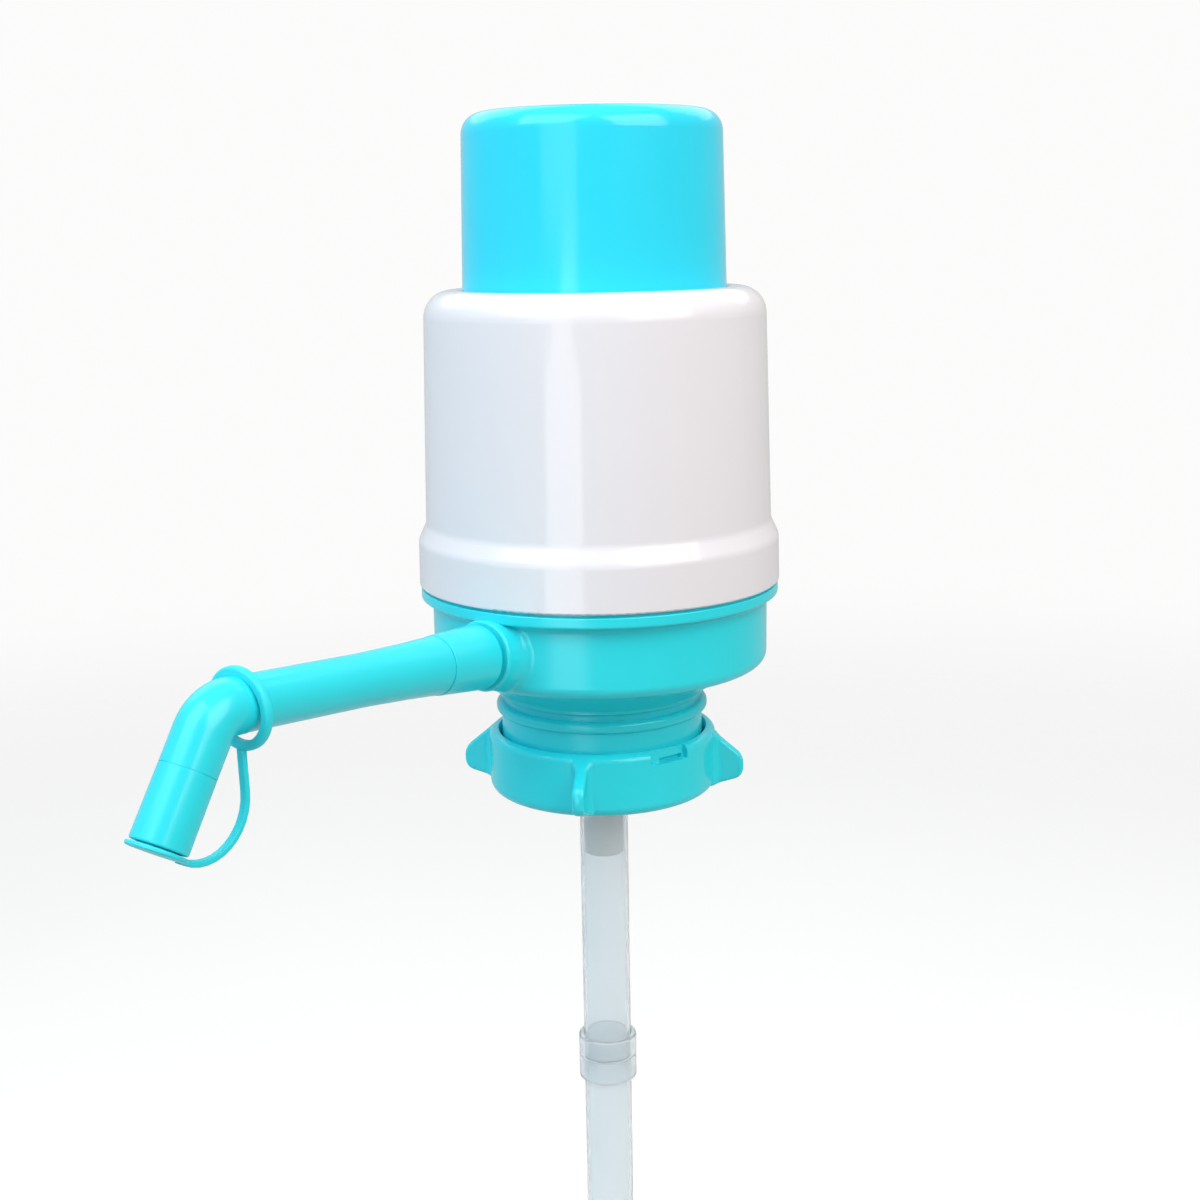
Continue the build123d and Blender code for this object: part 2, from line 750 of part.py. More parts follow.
def make_water_elbow():
    """Gallery that carries water from the plug's stem to the boss."""
    end = spout_origin + spout_dir * elbow_end_at
    path = FilletPolyline((0, 0, plate_top), (0, 0, spout_z), end, radius=elbow_bend_r)
    start = Plane(origin=(0, 0, plate_top), z_dir=(0, 0, 1))
    pipe = sweep(start * Circle(elbow_d / 2), path=path)
    bore = sweep(start * Circle(water_bore_d / 2), path=path)
    foot = rod(elbow_d / 2 + elbow_foot_reach, plate_top, plate_top + elbow_foot_t)
    return pipe + foot - bore


def make_tube(high, low):
    """One straight length of dip tube."""
    return ring(tube_bore_d / 2, tube_d / 2, low, high)


def make_dip_tube_upper():
    """Length of tube pushed over the plug's stem."""
    return make_tube(gasket_t - tube_top_drop, coupling_stop_t / 2 - tube_joint_1)


def make_dip_tube_middle():
    """Length of tube between the two couplings."""
    return make_tube(-tube_joint_1 - coupling_stop_t / 2, coupling_stop_t / 2 - tube_joint_2)


def make_dip_tube_lower():
    """Lowest length of tube, cut at a slant so that the bottle's floor can't close it."""
    plain = make_tube(-tube_joint_2 - coupling_stop_t / 2, -tube_end)
    slant = Pos(0, -tube_d / 2, -tube_end) * Rot(tube_foot_slant_deg, 0, 0)
    return plain - slant * block(-tube_d, tube_d, -tube_d, 2 * tube_d, -2 * tube_d, 0)


def make_coupling(joint):
    """Sleeve over a tube joint, with an inner stop between the two ends."""
    bore_r = coupling_bore_d / 2
    sleeve = ring(bore_r, bore_r + coupling_wall, -joint - coupling_h / 2, -joint + coupling_h / 2)
    stop_half = coupling_stop_t / 2 - snug
    stop = ring(tube_bore_d / 2, bore_r, -joint - stop_half, -joint + stop_half)
    return sleeve + stop


def make_spout_tube():
    """Spout: spigot with O-ring groove, sleeve, taper and slim end."""
    spigot_r = spout_spigot_d / 2
    groove_r = boss_bore_d / 2 - run_clear - o_ring_t - run_clear
    groove_low = o_ring_at - o_ring_groove_w / 2
    groove_high = o_ring_at + o_ring_groove_w / 2
    sleeve_end_r = spout_sleeve_end_d / 2
    tube = turned(
        (water_bore_d / 2, spout_spigot_at),
        (spigot_r, spout_spigot_at),
        (spigot_r, groove_low),
        (groove_r, groove_low),
        (groove_r, groove_high),
        (spigot_r, groove_high),
        (spigot_r, spout_start_at),
        (spout_sleeve_d / 2, spout_start_at, spout_start_r),
        (sleeve_end_r, spout_sleeve_at),
        (sleeve_end_r - spout_step, spout_sleeve_at),
        (spout_taper_d / 2, spout_taper_at),
        (spout_slim_d / 2, spout_slim_at),
        (spout_end_d / 2, spout_end_at),
        (spout_bore_d / 2, spout_end_at),
        (spout_bore_d / 2, spout_bore_from),
        (water_bore_d / 2, spout_bore_from),
    )
    return spout_place * tube


def make_spout_o_ring():
    """O-ring that seals the spout in the boss and lets it turn."""
    middle_r = boss_bore_d / 2 - run_clear - o_ring_t / 2
    return spout_place * Pos(0, 0, o_ring_at) * Torus(middle_r, o_ring_t / 2)


def make_nozzle_elbow():
    """Bend at the spout's end, plugged into the tube, with a spigot for the tip."""
    start = spout_origin + spout_dir * spout_end_at
    seam = nozzle_origin + nozzle_dir * nozzle_seam_at
    inlet = spout_origin + spout_dir * (spout_end_at - nozzle_plug_h)
    outlet = nozzle_origin + nozzle_dir * (nozzle_seam_at + nozzle_plug_h)
    mouth = Plane(origin=start, x_dir=(1, 0, 0), z_dir=spout_dir)
    inner = Plane(origin=inlet, x_dir=(1, 0, 0), z_dir=spout_dir)
    skin = FilletPolyline(start, nozzle_origin, seam, radius=nozzle_bend_r)
    way = FilletPolyline(inlet, nozzle_origin, outlet, radius=nozzle_bend_r)
    bend = sweep(mouth * Circle(nozzle_d / 2), path=skin)
    core = sweep(inner * Circle(nozzle_plug_d / 2), path=way)
    bore = sweep(inner * Circle(nozzle_bore_d / 2), path=way)
    return bend + core - bore


def make_nozzle_tip():
    """Straight tip pushed over the elbow's spigot."""
    tip = turned(
        (tip_bore_d / 2, nozzle_seam_at),
        (nozzle_d / 2, nozzle_seam_at),
        (tip_end_d / 2, nozzle_end_at, tip_edge_r),
        (tip_bore_d / 2, nozzle_end_at),
    )
    return nozzle_place * tip


def make_stopper_ring():
    """Ring of the stopper's strap that hangs round the spout's end, leaning a little."""
    half = stopper_ring_t / 2
    in_r = stopper_ring_bore_d / 2
    out_r = stopper_ring_d / 2
    hoop = turned(
        (in_r, -half),
        (out_r, -half, stopper_ring_edge_r),
        (out_r, half, stopper_ring_edge_r),
        (in_r, half),
    )
    return ring_place * hoop


def make_stopper_strap():
    """Strap from the ring down and round in one wide bend to the stopper's flange."""
    root = ring_place * Pos(0, -stopper_ring_d / 2, stopper_ring_t / 4)
    top = root.position + Vector(0, 0, -strap_root_drop)
    flange = nozzle_origin + nozzle_dir * (nozzle_end_at + stopper_seat_gap + stopper_flange_t / 2)
    inward = Vector(0, math.sin(fall), -math.cos(fall))
    end = flange + inward * (stopper_flange_d / 2 + clear)
    corner = end + inward * ((top.Y + strap_back - end.Y) / inward.Y)
    half_turn = math.radians((end - corner).get_angle(top - corner) / 2)
    widest = min((end - corner).length, (top - corner).length) * math.tan(half_turn)
    path = FilletPolyline(top, corner, end, radius=strap_bend_share * widest)
    section = Plane(origin=top, x_dir=(1, 0, 0), z_dir=corner - top) * Rectangle(strap_w, strap_t)
    return sweep(section, path=path)


def make_stopper_plug():
    """Soft stopper in the nozzle's mouth, hollow from inside, with a thin flange."""
    seat = nozzle_end_at + stopper_seat_gap
    flange_r = stopper_flange_d / 2
    body_r = stopper_body_d / 2
    core_r = stopper_core_d / 2
    inner = seat - stopper_body_h
    plug = turned(
        (0, seat),
        (core_r, seat),
        (core_r, inner),
        (body_r - stopper_body_lead / 2, inner),
        (body_r, inner + stopper_body_lead),
        (body_r, seat),
        (flange_r, seat, stopper_flange_t / 4),
        (flange_r, seat + stopper_flange_t, stopper_flange_t / 4),
        (0, seat + stopper_flange_t),
    )
    return nozzle_place * plug


pieces = {
    "press_cap": make_press_cap(),
    "bellows_top_plate": make_bellows_top_plate(),
    "inlet_valve": make_valve(plate_low, plate_high),
    "bellows": make_bellows(),
    "bellows_clamp_ring": make_bellows_clamp_ring(),
    "outer_shell": make_outer_shell(),
    "valve_deck": make_valve_deck(),
    "deck_gasket": make_deck_gasket(),
    "outlet_valve": make_valve(deck_bottom, deck_top),
    "base_housing": make_base_housing(),
    "water_elbow": make_water_elbow(),
    "neck_skirt": make_neck_skirt(),
    "neck_plug": make_neck_plug(),
    "lip_gasket": make_lip_gasket(),
    "grip_ring": make_grip_ring(),
    "collar_nut": make_collar_nut(),
    "dip_tube_upper": make_dip_tube_upper(),
    "tube_coupling_upper": make_coupling(tube_joint_1),
    "dip_tube_middle": make_dip_tube_middle(),
    "tube_coupling_lower": make_coupling(tube_joint_2),
    "dip_tube_lower": make_dip_tube_lower(),
    "spout_tube": make_spout_tube(),
    "spout_o_ring": make_spout_o_ring(),
    "nozzle_elbow": make_nozzle_elbow(),
    "nozzle_tip": make_nozzle_tip(),
    "stopper_ring": make_stopper_ring(),
    "stopper_strap": make_stopper_strap(),
    "stopper_plug": make_stopper_plug(),
}

os.makedirs("parts", exist_ok=True)
for node, shape in pieces.items():
    export_step(shape, f"parts/{node}.step")
    print(node, round(shape.volume), "mm3")
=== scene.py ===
# %% [markdown]
# # A hand press pump for drinking water
#
# The pump is a stack of moulded pieces on one upright axis: a cap that slides in a white shell, a
# turquoise base with a swivelling spout, a screw collar with wing ears, and a long clear tube.
# The packed model already has each piece at its real size. This lesson gives every surface its
# finish, and rebuilds the pieces whose edges, seams, threads or soft folds the eye looks for.

# %% Load the packed model
import json
import math

import bmesh
import bpy
from mathutils import Matrix, Vector


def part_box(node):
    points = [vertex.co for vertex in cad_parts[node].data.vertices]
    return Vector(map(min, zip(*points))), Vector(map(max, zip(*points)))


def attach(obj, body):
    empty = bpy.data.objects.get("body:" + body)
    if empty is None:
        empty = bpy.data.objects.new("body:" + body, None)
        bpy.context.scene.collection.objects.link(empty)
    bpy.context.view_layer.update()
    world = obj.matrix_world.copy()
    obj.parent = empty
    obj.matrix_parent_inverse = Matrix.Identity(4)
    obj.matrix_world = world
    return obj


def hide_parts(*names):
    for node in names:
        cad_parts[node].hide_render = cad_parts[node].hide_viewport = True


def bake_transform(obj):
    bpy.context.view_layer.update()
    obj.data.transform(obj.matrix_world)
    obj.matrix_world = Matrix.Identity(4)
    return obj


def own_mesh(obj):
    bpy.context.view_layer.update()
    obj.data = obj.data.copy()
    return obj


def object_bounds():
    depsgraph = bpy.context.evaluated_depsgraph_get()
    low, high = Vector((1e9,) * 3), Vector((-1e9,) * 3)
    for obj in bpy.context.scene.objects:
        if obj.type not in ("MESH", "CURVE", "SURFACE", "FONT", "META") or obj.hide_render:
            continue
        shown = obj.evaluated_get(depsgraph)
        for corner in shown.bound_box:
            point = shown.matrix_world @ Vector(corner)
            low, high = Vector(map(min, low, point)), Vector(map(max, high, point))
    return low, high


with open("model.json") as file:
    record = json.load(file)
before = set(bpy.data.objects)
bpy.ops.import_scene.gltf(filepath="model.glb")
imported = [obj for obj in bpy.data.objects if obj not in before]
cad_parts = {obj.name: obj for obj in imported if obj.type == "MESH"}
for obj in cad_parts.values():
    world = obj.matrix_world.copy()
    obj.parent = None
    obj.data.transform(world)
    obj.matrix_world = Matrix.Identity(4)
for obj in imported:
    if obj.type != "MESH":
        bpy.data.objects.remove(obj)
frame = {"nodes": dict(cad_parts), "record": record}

cad_low, cad_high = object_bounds()
nodes = frame["nodes"]
MM = 0.001
print("nodes", len(nodes), "height mm", round((cad_high.z - cad_low.z) / MM, 1))

# %% [markdown]
# ## The camera
#
# A camera can be moved by eye until a render looks like the photograph, but then every later
# comparison is a guess. Here the round edges of the cap, shell and collar gave the lens, the
# distance and the tilt by a fit, so the values are written down and the camera is set from them.
# The pump is seen from its right, a little above the shell, with the spout turned to the left.

# %% Camera at the photograph's place
CAMERA_TURN = math.radians(36.0)
CAMERA_PITCH = math.radians(12.137)
CAMERA_ROLL = math.radians(1.01)
CAMERA_DISTANCE = 500.18 * MM
CAMERA_HEIGHT = 138.71 * MM
CAMERA_LENS, CAMERA_SENSOR = 52.51, 36.0
CAMERA_NEAR = 0.01

sideways = Vector((math.cos(CAMERA_TURN), math.sin(CAMERA_TURN), 0))
away = Vector((-math.sin(CAMERA_TURN), math.cos(CAMERA_TURN), 0))
up = Vector((0, 0, 1))


def add_camera():
    """Camera from its turn about the pump, its pitch, its roll and its distance."""
    forward = away * math.cos(CAMERA_PITCH) - up * math.sin(CAMERA_PITCH)
    top = sideways.cross(forward)
    right = sideways * math.cos(CAMERA_ROLL) - top * math.sin(CAMERA_ROLL)
    top = right.cross(forward)
    lens = bpy.data.cameras.new("camera")
    lens.lens = CAMERA_LENS
    lens.sensor_width = CAMERA_SENSOR
    lens.clip_start = CAMERA_NEAR
    camera = bpy.data.objects.new("camera", lens)
    camera.matrix_world = Matrix((right, top, -forward)).transposed().to_4x4()
    camera.location = up * CAMERA_HEIGHT - away * CAMERA_DISTANCE
    bpy.context.scene.collection.objects.link(camera)
    bpy.context.scene.camera = camera
    return camera


camera = add_camera()
print("camera at", [round(v, 4) for v in camera.location])

# %% [markdown]
# ## Finishes as node trees
#
# Moulded plastic is never one flat colour. The melt leaves faint clouds of tone, the mould leaves a
# slight orange peel that makes highlights waver, and handling leaves soft changes of gloss. Each of
# these is a noise texture at its own scale, in the piece's own coordinates in metres, so no piece
# needs an unwrapped map. A short helper holds the shader and its links, because every finish
# starts the same way.

# %% Helper for finishes
RAMP_LOW, RAMP_HIGH = 0.1, 0.9


class Finish:
    """A material under construction: its node tree, its shader and its coordinates."""

    def __init__(self, name):
        self.material = bpy.data.materials.new(name)
        self.material.use_nodes = True
        self.tree = self.material.node_tree
        self.tree.nodes.clear()
        self.output = self.add("OutputMaterial")
        self.shader = self.add("BsdfPrincipled")
        self.link(self.shader.outputs["BSDF"], self.output.inputs["Surface"])
        self.place = self.add("TexCoord").outputs["Object"]

    def add(self, kind, **settings):
        """A new node, with its properties set by name."""
        node = self.tree.nodes.new("ShaderNode" + kind)
        for name, value in settings.items():
            setattr(node, name, value)
        return node

    def link(self, source, target):
        """A link from an output to an input."""
        self.tree.links.new(source, target)

    def set(self, **values):
        """Constant values on the shader's own sockets, named with underscores for spaces."""
        for name, value in values.items():
            self.shader.inputs[name.replace("_", " ")].default_value = value

    def noise(self, size_mm, detail=2.0, stretch=(1, 1, 1), seed=0.0):
        """Noise whose clouds are about size_mm across, stretched along the axes."""
        move = self.add("Mapping")
        move.inputs["Scale"].default_value = stretch
        move.inputs["Location"].default_value = (seed, seed, seed)
        self.link(self.place, move.inputs["Vector"])
        texture = self.add("TexNoise")
        texture.inputs["Scale"].default_value = 1 / (size_mm * MM)
        texture.inputs["Detail"].default_value = detail
        self.link(move.outputs["Vector"], texture.inputs["Vector"])
        return texture.outputs["Fac"]

    def between(self, source, low, high, source_low=RAMP_LOW, source_high=RAMP_HIGH):
        """A value that runs smoothly from low to high as the source does."""
        ramp = self.add("MapRange", interpolation_type="SMOOTHSTEP")
        ramp.inputs["From Min"].default_value = source_low
        ramp.inputs["From Max"].default_value = source_high
        ramp.inputs["To Min"].default_value = low
        ramp.inputs["To Max"].default_value = high
        self.link(source, ramp.inputs["Value"])
        return ramp.outputs["Result"]

    def tint(self, source, first, second):
        """A colour that runs from the first to the second as the source does."""
        ramp = self.add("ValToRGB")
        ramp.color_ramp.interpolation = "EASE"
        for stop, position, colour in zip(ramp.color_ramp.elements, (RAMP_LOW, RAMP_HIGH), (first, second)):
            stop.position = position
            stop.color = (*colour, 1)
        self.link(source, ramp.inputs["Fac"])
        self.link(ramp.outputs["Color"], self.shader.inputs["Base Color"])

    def roughness(self, value):
        """Roughness from a value in the node tree."""
        self.link(value, self.shader.inputs["Roughness"])

    def relief(self, *layers):
        """Bump layers of (height source, depth in mm), one on top of the other."""
        normal = None
        for source, depth_mm in layers:
            bump = self.add("Bump")
            bump.inputs["Strength"].default_value = 1.0
            bump.inputs["Distance"].default_value = depth_mm * MM
            self.link(source, bump.inputs["Height"])
            if normal:
                self.link(normal, bump.inputs["Normal"])
            normal = bump.outputs["Normal"]
        self.link(normal, self.shader.inputs["Normal"])


print("finish helper with", [name for name in vars(Finish) if not name.startswith("_")])

# %% [markdown]
# ## Moulded plastics
#
# The cap, the body and the stopper are three batches of nearly the same turquoise: the cap is bluer,
# the body is greener, and the stopper is a softer plastic with less gloss. The shell is a glossy
# white. One function makes them all, because the moulding marks are alike and only the colours and
# the gloss differ. The slide marks of the cap are noise stretched along the pump's axis.

# %% Glossy and satin plastics
TONE_CLOUD, GLOSS_CLOUD = 38, 16
PEEL, PEEL_DEPTH = 6.0, 0.0015
PORES, PORE_DEPTH = 0.5, 0.00015
SLIDE_MARK, SLIDE_STRETCH = 1.6, (1, 1, 0.02)
PLASTIC_IOR, PLASTIC_SHEEN = 1.49, 0.4


def moulded_plastic(name, light, deep, gloss, slide_marks=0.0):
    """Moulded plastic between two close colours, with clouds, orange peel and changes of gloss."""
    finish = Finish(name)
    finish.tint(finish.noise(TONE_CLOUD, detail=3), deep, light)
    rough = finish.between(finish.noise(GLOSS_CLOUD, detail=2, seed=0.4), *gloss)
    if slide_marks:
        streaks = finish.noise(SLIDE_MARK, detail=2, stretch=SLIDE_STRETCH, seed=0.7)
        both = finish.add("Math", operation="ADD")
        finish.link(rough, both.inputs[0])
        finish.link(finish.between(streaks, 0.0, slide_marks), both.inputs[1])
        rough = both.outputs["Value"]
    finish.roughness(rough)
    peel = finish.noise(PEEL, detail=1)
    pores = finish.noise(PORES, detail=1, seed=0.2)
    finish.relief((peel, PEEL_DEPTH), (pores, PORE_DEPTH))
    finish.set(IOR=PLASTIC_IOR, Specular_IOR_Level=PLASTIC_SHEEN)
    return finish.material


cap_plastic = moulded_plastic(
    "cap_plastic", light=(0.026, 0.745, 0.955), deep=(0.020, 0.715, 0.925), gloss=(0.09, 0.16),
    slide_marks=0.04,
)
shell_plastic = moulded_plastic(
    "shell_plastic", light=(0.875, 0.835, 0.865), deep=(0.86, 0.82, 0.85), gloss=(0.07, 0.11)
)
body_plastic = moulded_plastic(
    "body_plastic", light=(0.029, 0.775, 0.865), deep=(0.022, 0.735, 0.825), gloss=(0.19, 0.27)
)
stopper_plastic = moulded_plastic(
    "stopper_plastic", light=(0.031, 0.785, 0.875), deep=(0.024, 0.745, 0.835), gloss=(0.32, 0.46)
)
inner_plastic = moulded_plastic(
    "inner_plastic", light=(0.80, 0.81, 0.79), deep=(0.76, 0.77, 0.75), gloss=(0.35, 0.5)
)
hard_plastics = (cap_plastic, shell_plastic, body_plastic, stopper_plastic, inner_plastic)
print("plastics", [plastic.name for plastic in hard_plastics])

# %% [markdown]
# ## Rubber, bellows and tube
#
# The seals are pale silicone, which is matt and a little dusty. The bellows is blown from a milky
# soft plastic, so some light goes into it. The dip tube is clear with a milky cast: real glass nodes
# would look too clean, so it is a slightly rough transmitting plastic with faint drawing lines.

# %% Soft and clear finishes
RUBBER_GRAIN = 0.01
BELLOWS_GRAIN = 0.01
TUBE_LINES, TUBE_STRETCH = 0.0012, (1, 1, 0.01)


def silicone_rubber():
    """Pale matt rubber with fine dust in its pores."""
    finish = Finish("seal_rubber")
    finish.tint(finish.noise(size_mm=9, detail=4), (0.66, 0.68, 0.67), (0.74, 0.75, 0.74))
    finish.roughness(finish.between(finish.noise(size_mm=2.0, detail=3), low=0.55, high=0.75))
    finish.relief((finish.noise(size_mm=0.6, detail=3), RUBBER_GRAIN))
    return finish.material


def milky_bellows():
    """Blown soft plastic that lets some light into its folds."""
    finish = Finish("bellows_plastic")
    finish.tint(finish.noise(size_mm=20, detail=3), (0.72, 0.75, 0.74), (0.80, 0.82, 0.81))
    finish.roughness(finish.between(finish.noise(size_mm=5, detail=3), low=0.35, high=0.55))
    finish.relief((finish.noise(size_mm=1.5, detail=2), BELLOWS_GRAIN))
    finish.set(Subsurface_Weight=0.3, Subsurface_Scale=0.002)
    return finish.material


def clear_tube():
    """Clear drawn tube with a milky cast and faint lines along it."""
    finish = Finish("tube_plastic")
    finish.tint(finish.noise(size_mm=30, detail=2), (0.88, 0.93, 0.96), (0.92, 0.96, 0.98))
    finish.roughness(finish.between(finish.noise(size_mm=8, detail=3), low=0.06, high=0.14))
    finish.relief((finish.noise(size_mm=1.2, detail=1, stretch=TUBE_STRETCH), TUBE_LINES))
    finish.set(Transmission_Weight=0.82, IOR=1.42)
    return finish.material


seal_rubber = silicone_rubber()
bellows_plastic = milky_bellows()
tube_plastic = clear_tube()
print("soft and clear finishes", [m.name for m in (seal_rubber, bellows_plastic, tube_plastic)])

# %% [markdown]
# ## Finishes on the packed pieces
#
# The record says which finish slot each node has, so the node meshes take their materials from that
# list. Each could be dressed by hand, but then a new piece would stay bare. The slots are written out
# in a table, because the packed model brings plain materials of the same names, and Blender then
# gives the new ones a number. Nothing is moved and no mesh is edited.

# %% Dress the packed nodes
finishes = {
    "cap_plastic": cap_plastic,
    "shell_plastic": shell_plastic,
    "body_plastic": body_plastic,
    "stopper_plastic": stopper_plastic,
    "inner_plastic": inner_plastic,
    "bellows_plastic": bellows_plastic,
    "seal_rubber": seal_rubber,
    "tube_plastic": tube_plastic,
}
slot_of = {part["node"]: part["material_slot"] for part in frame["record"]["subparts"]}
for node, obj in nodes.items():
    obj.data.materials.clear()
    obj.data.materials.append(finishes[slot_of[node]])
print("dressed", len(slot_of), "nodes")

# %% [markdown]
# ## Outlines with rounded corners
#
# Most of the pump is round, as if turned, so most of its shapes start as an outline. No moulded edge
# is a knife edge: each one has a small round that catches the light. A bevel modifier could round
# the finished mesh, but every edge would need its own weight. So an outline here is a list of
# corners with a rounding each, and the roundings become short arcs.

# %% Helper for outlines
ARC_STEP = math.radians(11.0)


def rounded(corners, closed=True, room=0.49):
    """Outline points from (r, z) or (r, z, rounding) corners; room limits an arc's share of a side."""
    points = []
    count = len(corners)
    for i, corner in enumerate(corners):
        here = Vector(corner[:2])
        size = corner[2] if len(corner) > 2 else 0
        if not size or not closed and i in (0, count - 1):
            points.append(here)
            continue
        back = Vector(corners[i - 1][:2]) - here
        on = Vector(corners[(i + 1) % count][:2]) - here
        half = back.angle(on) / 2
        run = min(size / math.tan(half), room * back.length, room * on.length)
        first = here + back.normalized() * run
        last = here + on.normalized() * run
        centre = here + (back.normalized() + on.normalized()).normalized() * (run / math.cos(half))
        bend = math.pi - 2 * half
        steps = max(2, math.ceil(bend / ARC_STEP))
        for step in range(steps + 1):
            share = step / steps
            mix = (first - centre) * math.sin((1 - share) * bend) + (last - centre) * math.sin(share * bend)
            points.append(centre + mix / math.sin(bend))
    return points


print("a rounded square corner has", len(rounded([(0, 0), (2, 0, 1), (2, 2)], closed=False)) - 2, "points")

# %% [markdown]
# ## Turning a piece on a lathe
#
# A screw modifier could spin an outline, but the pieces also need slant cuts and their own frames.
# So the outline is spun point by point, and four sided faces join each row to the next. The frame
# of each piece is a matrix, so the same code turns upright pieces, the spout and the nozzle.

# %% Helpers for turned pieces
SHARP_FROM = math.radians(40.0)
SAME_POINT = 1e-4


def skin(shape, rows, bare=()):
    """Four sided faces from each closed row of points to the next, without the sides listed as bare."""
    count = len(rows[0])
    for here, there in zip(rows, rows[1:]):
        for i in range(count):
            if i not in bare:
                shape.faces.new([here[i], here[(i + 1) % count], there[(i + 1) % count], there[i]])


def finish_piece(name, mesh_parts, node, place=None):
    """Object from bmesh geometry in mm: clean, smooth, and dressed like the node."""
    bmesh.ops.remove_doubles(mesh_parts, verts=mesh_parts.verts, dist=SAME_POINT)
    bmesh.ops.recalc_face_normals(mesh_parts, faces=mesh_parts.faces)
    bmesh.ops.transform(mesh_parts, matrix=Matrix.Scale(MM, 4), verts=mesh_parts.verts)
    if place:
        bmesh.ops.transform(mesh_parts, matrix=place, verts=mesh_parts.verts)
    mesh = bpy.data.meshes.new(name)
    mesh_parts.to_mesh(mesh)
    mesh_parts.free()
    mesh.shade_smooth()
    mesh.set_sharp_from_angle(angle=SHARP_FROM)
    obj = bpy.data.objects.new(name, mesh)
    bpy.context.scene.collection.objects.link(obj)
    even = obj.modifiers.new("even shading", "WEIGHTED_NORMAL")
    even.keep_sharp = True
    mesh.materials.append(finishes[slot_of[node]])
    return obj


def turned(name, node, corners, segments=160, place=None, foot=None):
    """Turned piece that stands for a packed node; foot gives the lift of a point, for a slant cut."""
    outline = rounded(corners)
    count = len(outline)
    shape = bmesh.new()
    rows = []
    for turn in range(segments):
        angle = math.tau * turn / segments
        c, s = math.cos(angle), math.sin(angle)
        lifts = [foot(p, p.x * s) if foot else 0 for p in outline]
        rows.append([shape.verts.new((p.x * c, p.x * s, p.y + lift)) for p, lift in zip(outline, lifts)])
    on_axis = [i for i in range(count) if max(outline[i].x, outline[(i + 1) % count].x) <= 0]
    skin(shape, rows + rows[:1], bare=on_axis)
    obj = finish_piece(name, shape, node, place)
    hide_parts(node)
    return obj


def along(origin, axis):
    """Matrix of a piece whose axis leaves the origin in the given direction, with X kept level."""
    side = Vector((1, 0, 0))
    return Matrix.Translation(origin) @ Matrix((side, axis.cross(side), axis)).transposed().to_4x4()


def box_mm(node):
    """Lowest and highest corner of a node in mm."""
    low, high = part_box(node)
    return Vector(low) / MM, Vector(high) / MM


print("lathe ready, faces meet smoothly below", round(math.degrees(SHARP_FROM)), "degrees")

# %% [markdown]
# ## The dip tube and its couplings
#
# The real tube is three lengths of drawn pipe, joined by two short sleeves, with its foot cut at a
# slant so that a flat surface under it can't close it. A solid rod would bend light like a lens:
# clear plastic shows its wall only where both faces are there, so each length has a bore as well as
# an outside, and its cut ends are rounded a little to catch light.

# %% Tube lengths and couplings
TUBE_WALL = 1.15
TUBE_END_ROUND = 0.3
TUBE_SLANT = math.tan(math.radians(30.0))
TUBE_SEGMENTS = 96
COUPLING_WALL = 1.55
COUPLING_ROUND = 0.6
COUPLING_STOP = 0.35


def tube_length(name, node, slant=0.0):
    """One length of clear tube, with its lower end cut at a slant if given."""
    low, high = box_mm(node)
    r = high.x
    bore = r - TUBE_WALL
    middle = (low.z + high.z) / 2
    corners = [
        (bore, low.z, TUBE_END_ROUND),
        (r, low.z, TUBE_END_ROUND),
        (r, high.z, TUBE_END_ROUND),
        (bore, high.z, TUBE_END_ROUND),
    ]
    obj = turned(
        name, node, corners, TUBE_SEGMENTS, foot=lambda p, y: slant * (y + r) if p.y < middle else 0
    )
    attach(obj, "base")
    return obj


def tube_coupling(name, node):
    """Sleeve over a joint, with the inner stop that parts the two tube ends."""
    low, high = box_mm(node)
    r = high.x
    bore = r - COUPLING_WALL
    stop_r = bore - TUBE_WALL
    middle = (low.z + high.z) / 2
    corners = [
        (bore, low.z, TUBE_END_ROUND),
        (r, low.z, COUPLING_ROUND),
        (r, high.z, COUPLING_ROUND),
        (bore, high.z, TUBE_END_ROUND),
        (bore, middle + COUPLING_STOP),
        (stop_r, middle + COUPLING_STOP),
        (stop_r, middle - COUPLING_STOP),
        (bore, middle - COUPLING_STOP),
    ]
    obj = turned(name, node, corners, TUBE_SEGMENTS)
    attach(obj, "base")
    return obj


tube_pieces = [
    tube_length("clear_tube_top", "dip_tube_upper"),
    tube_coupling("upper_tube_sleeve", "tube_coupling_upper"),
    tube_length("clear_tube_middle", "dip_tube_middle"),
    tube_coupling("lower_tube_sleeve", "tube_coupling_lower"),
    tube_length("clear_tube_foot", "dip_tube_lower", TUBE_SLANT),
]
print("tube pieces", [piece.name for piece in tube_pieces])

# %% [markdown]
# ## The bellows
#
# Inside the shell a blown bellows is the pump's spring and its lung. Its folds are soft, so each peak and
# valley is round. When the cap goes down the folds close towards the deck, and moving the piece would push
# it through the deck. Here it stays with the base, with a mesh of its own.

# %% Bellows with rounded folds
BELLOWS_FOLDS = 9
BELLOWS_FOLD = 7.0
BELLOWS_WALL = 1.6
BELLOWS_FLANGE = 1.2
BELLOWS_FLANGE_REACH = 3.0
BELLOWS_SEGMENTS = 128
FOLD_ROUND = 1.0
FLANGE_ROUND = 0.4


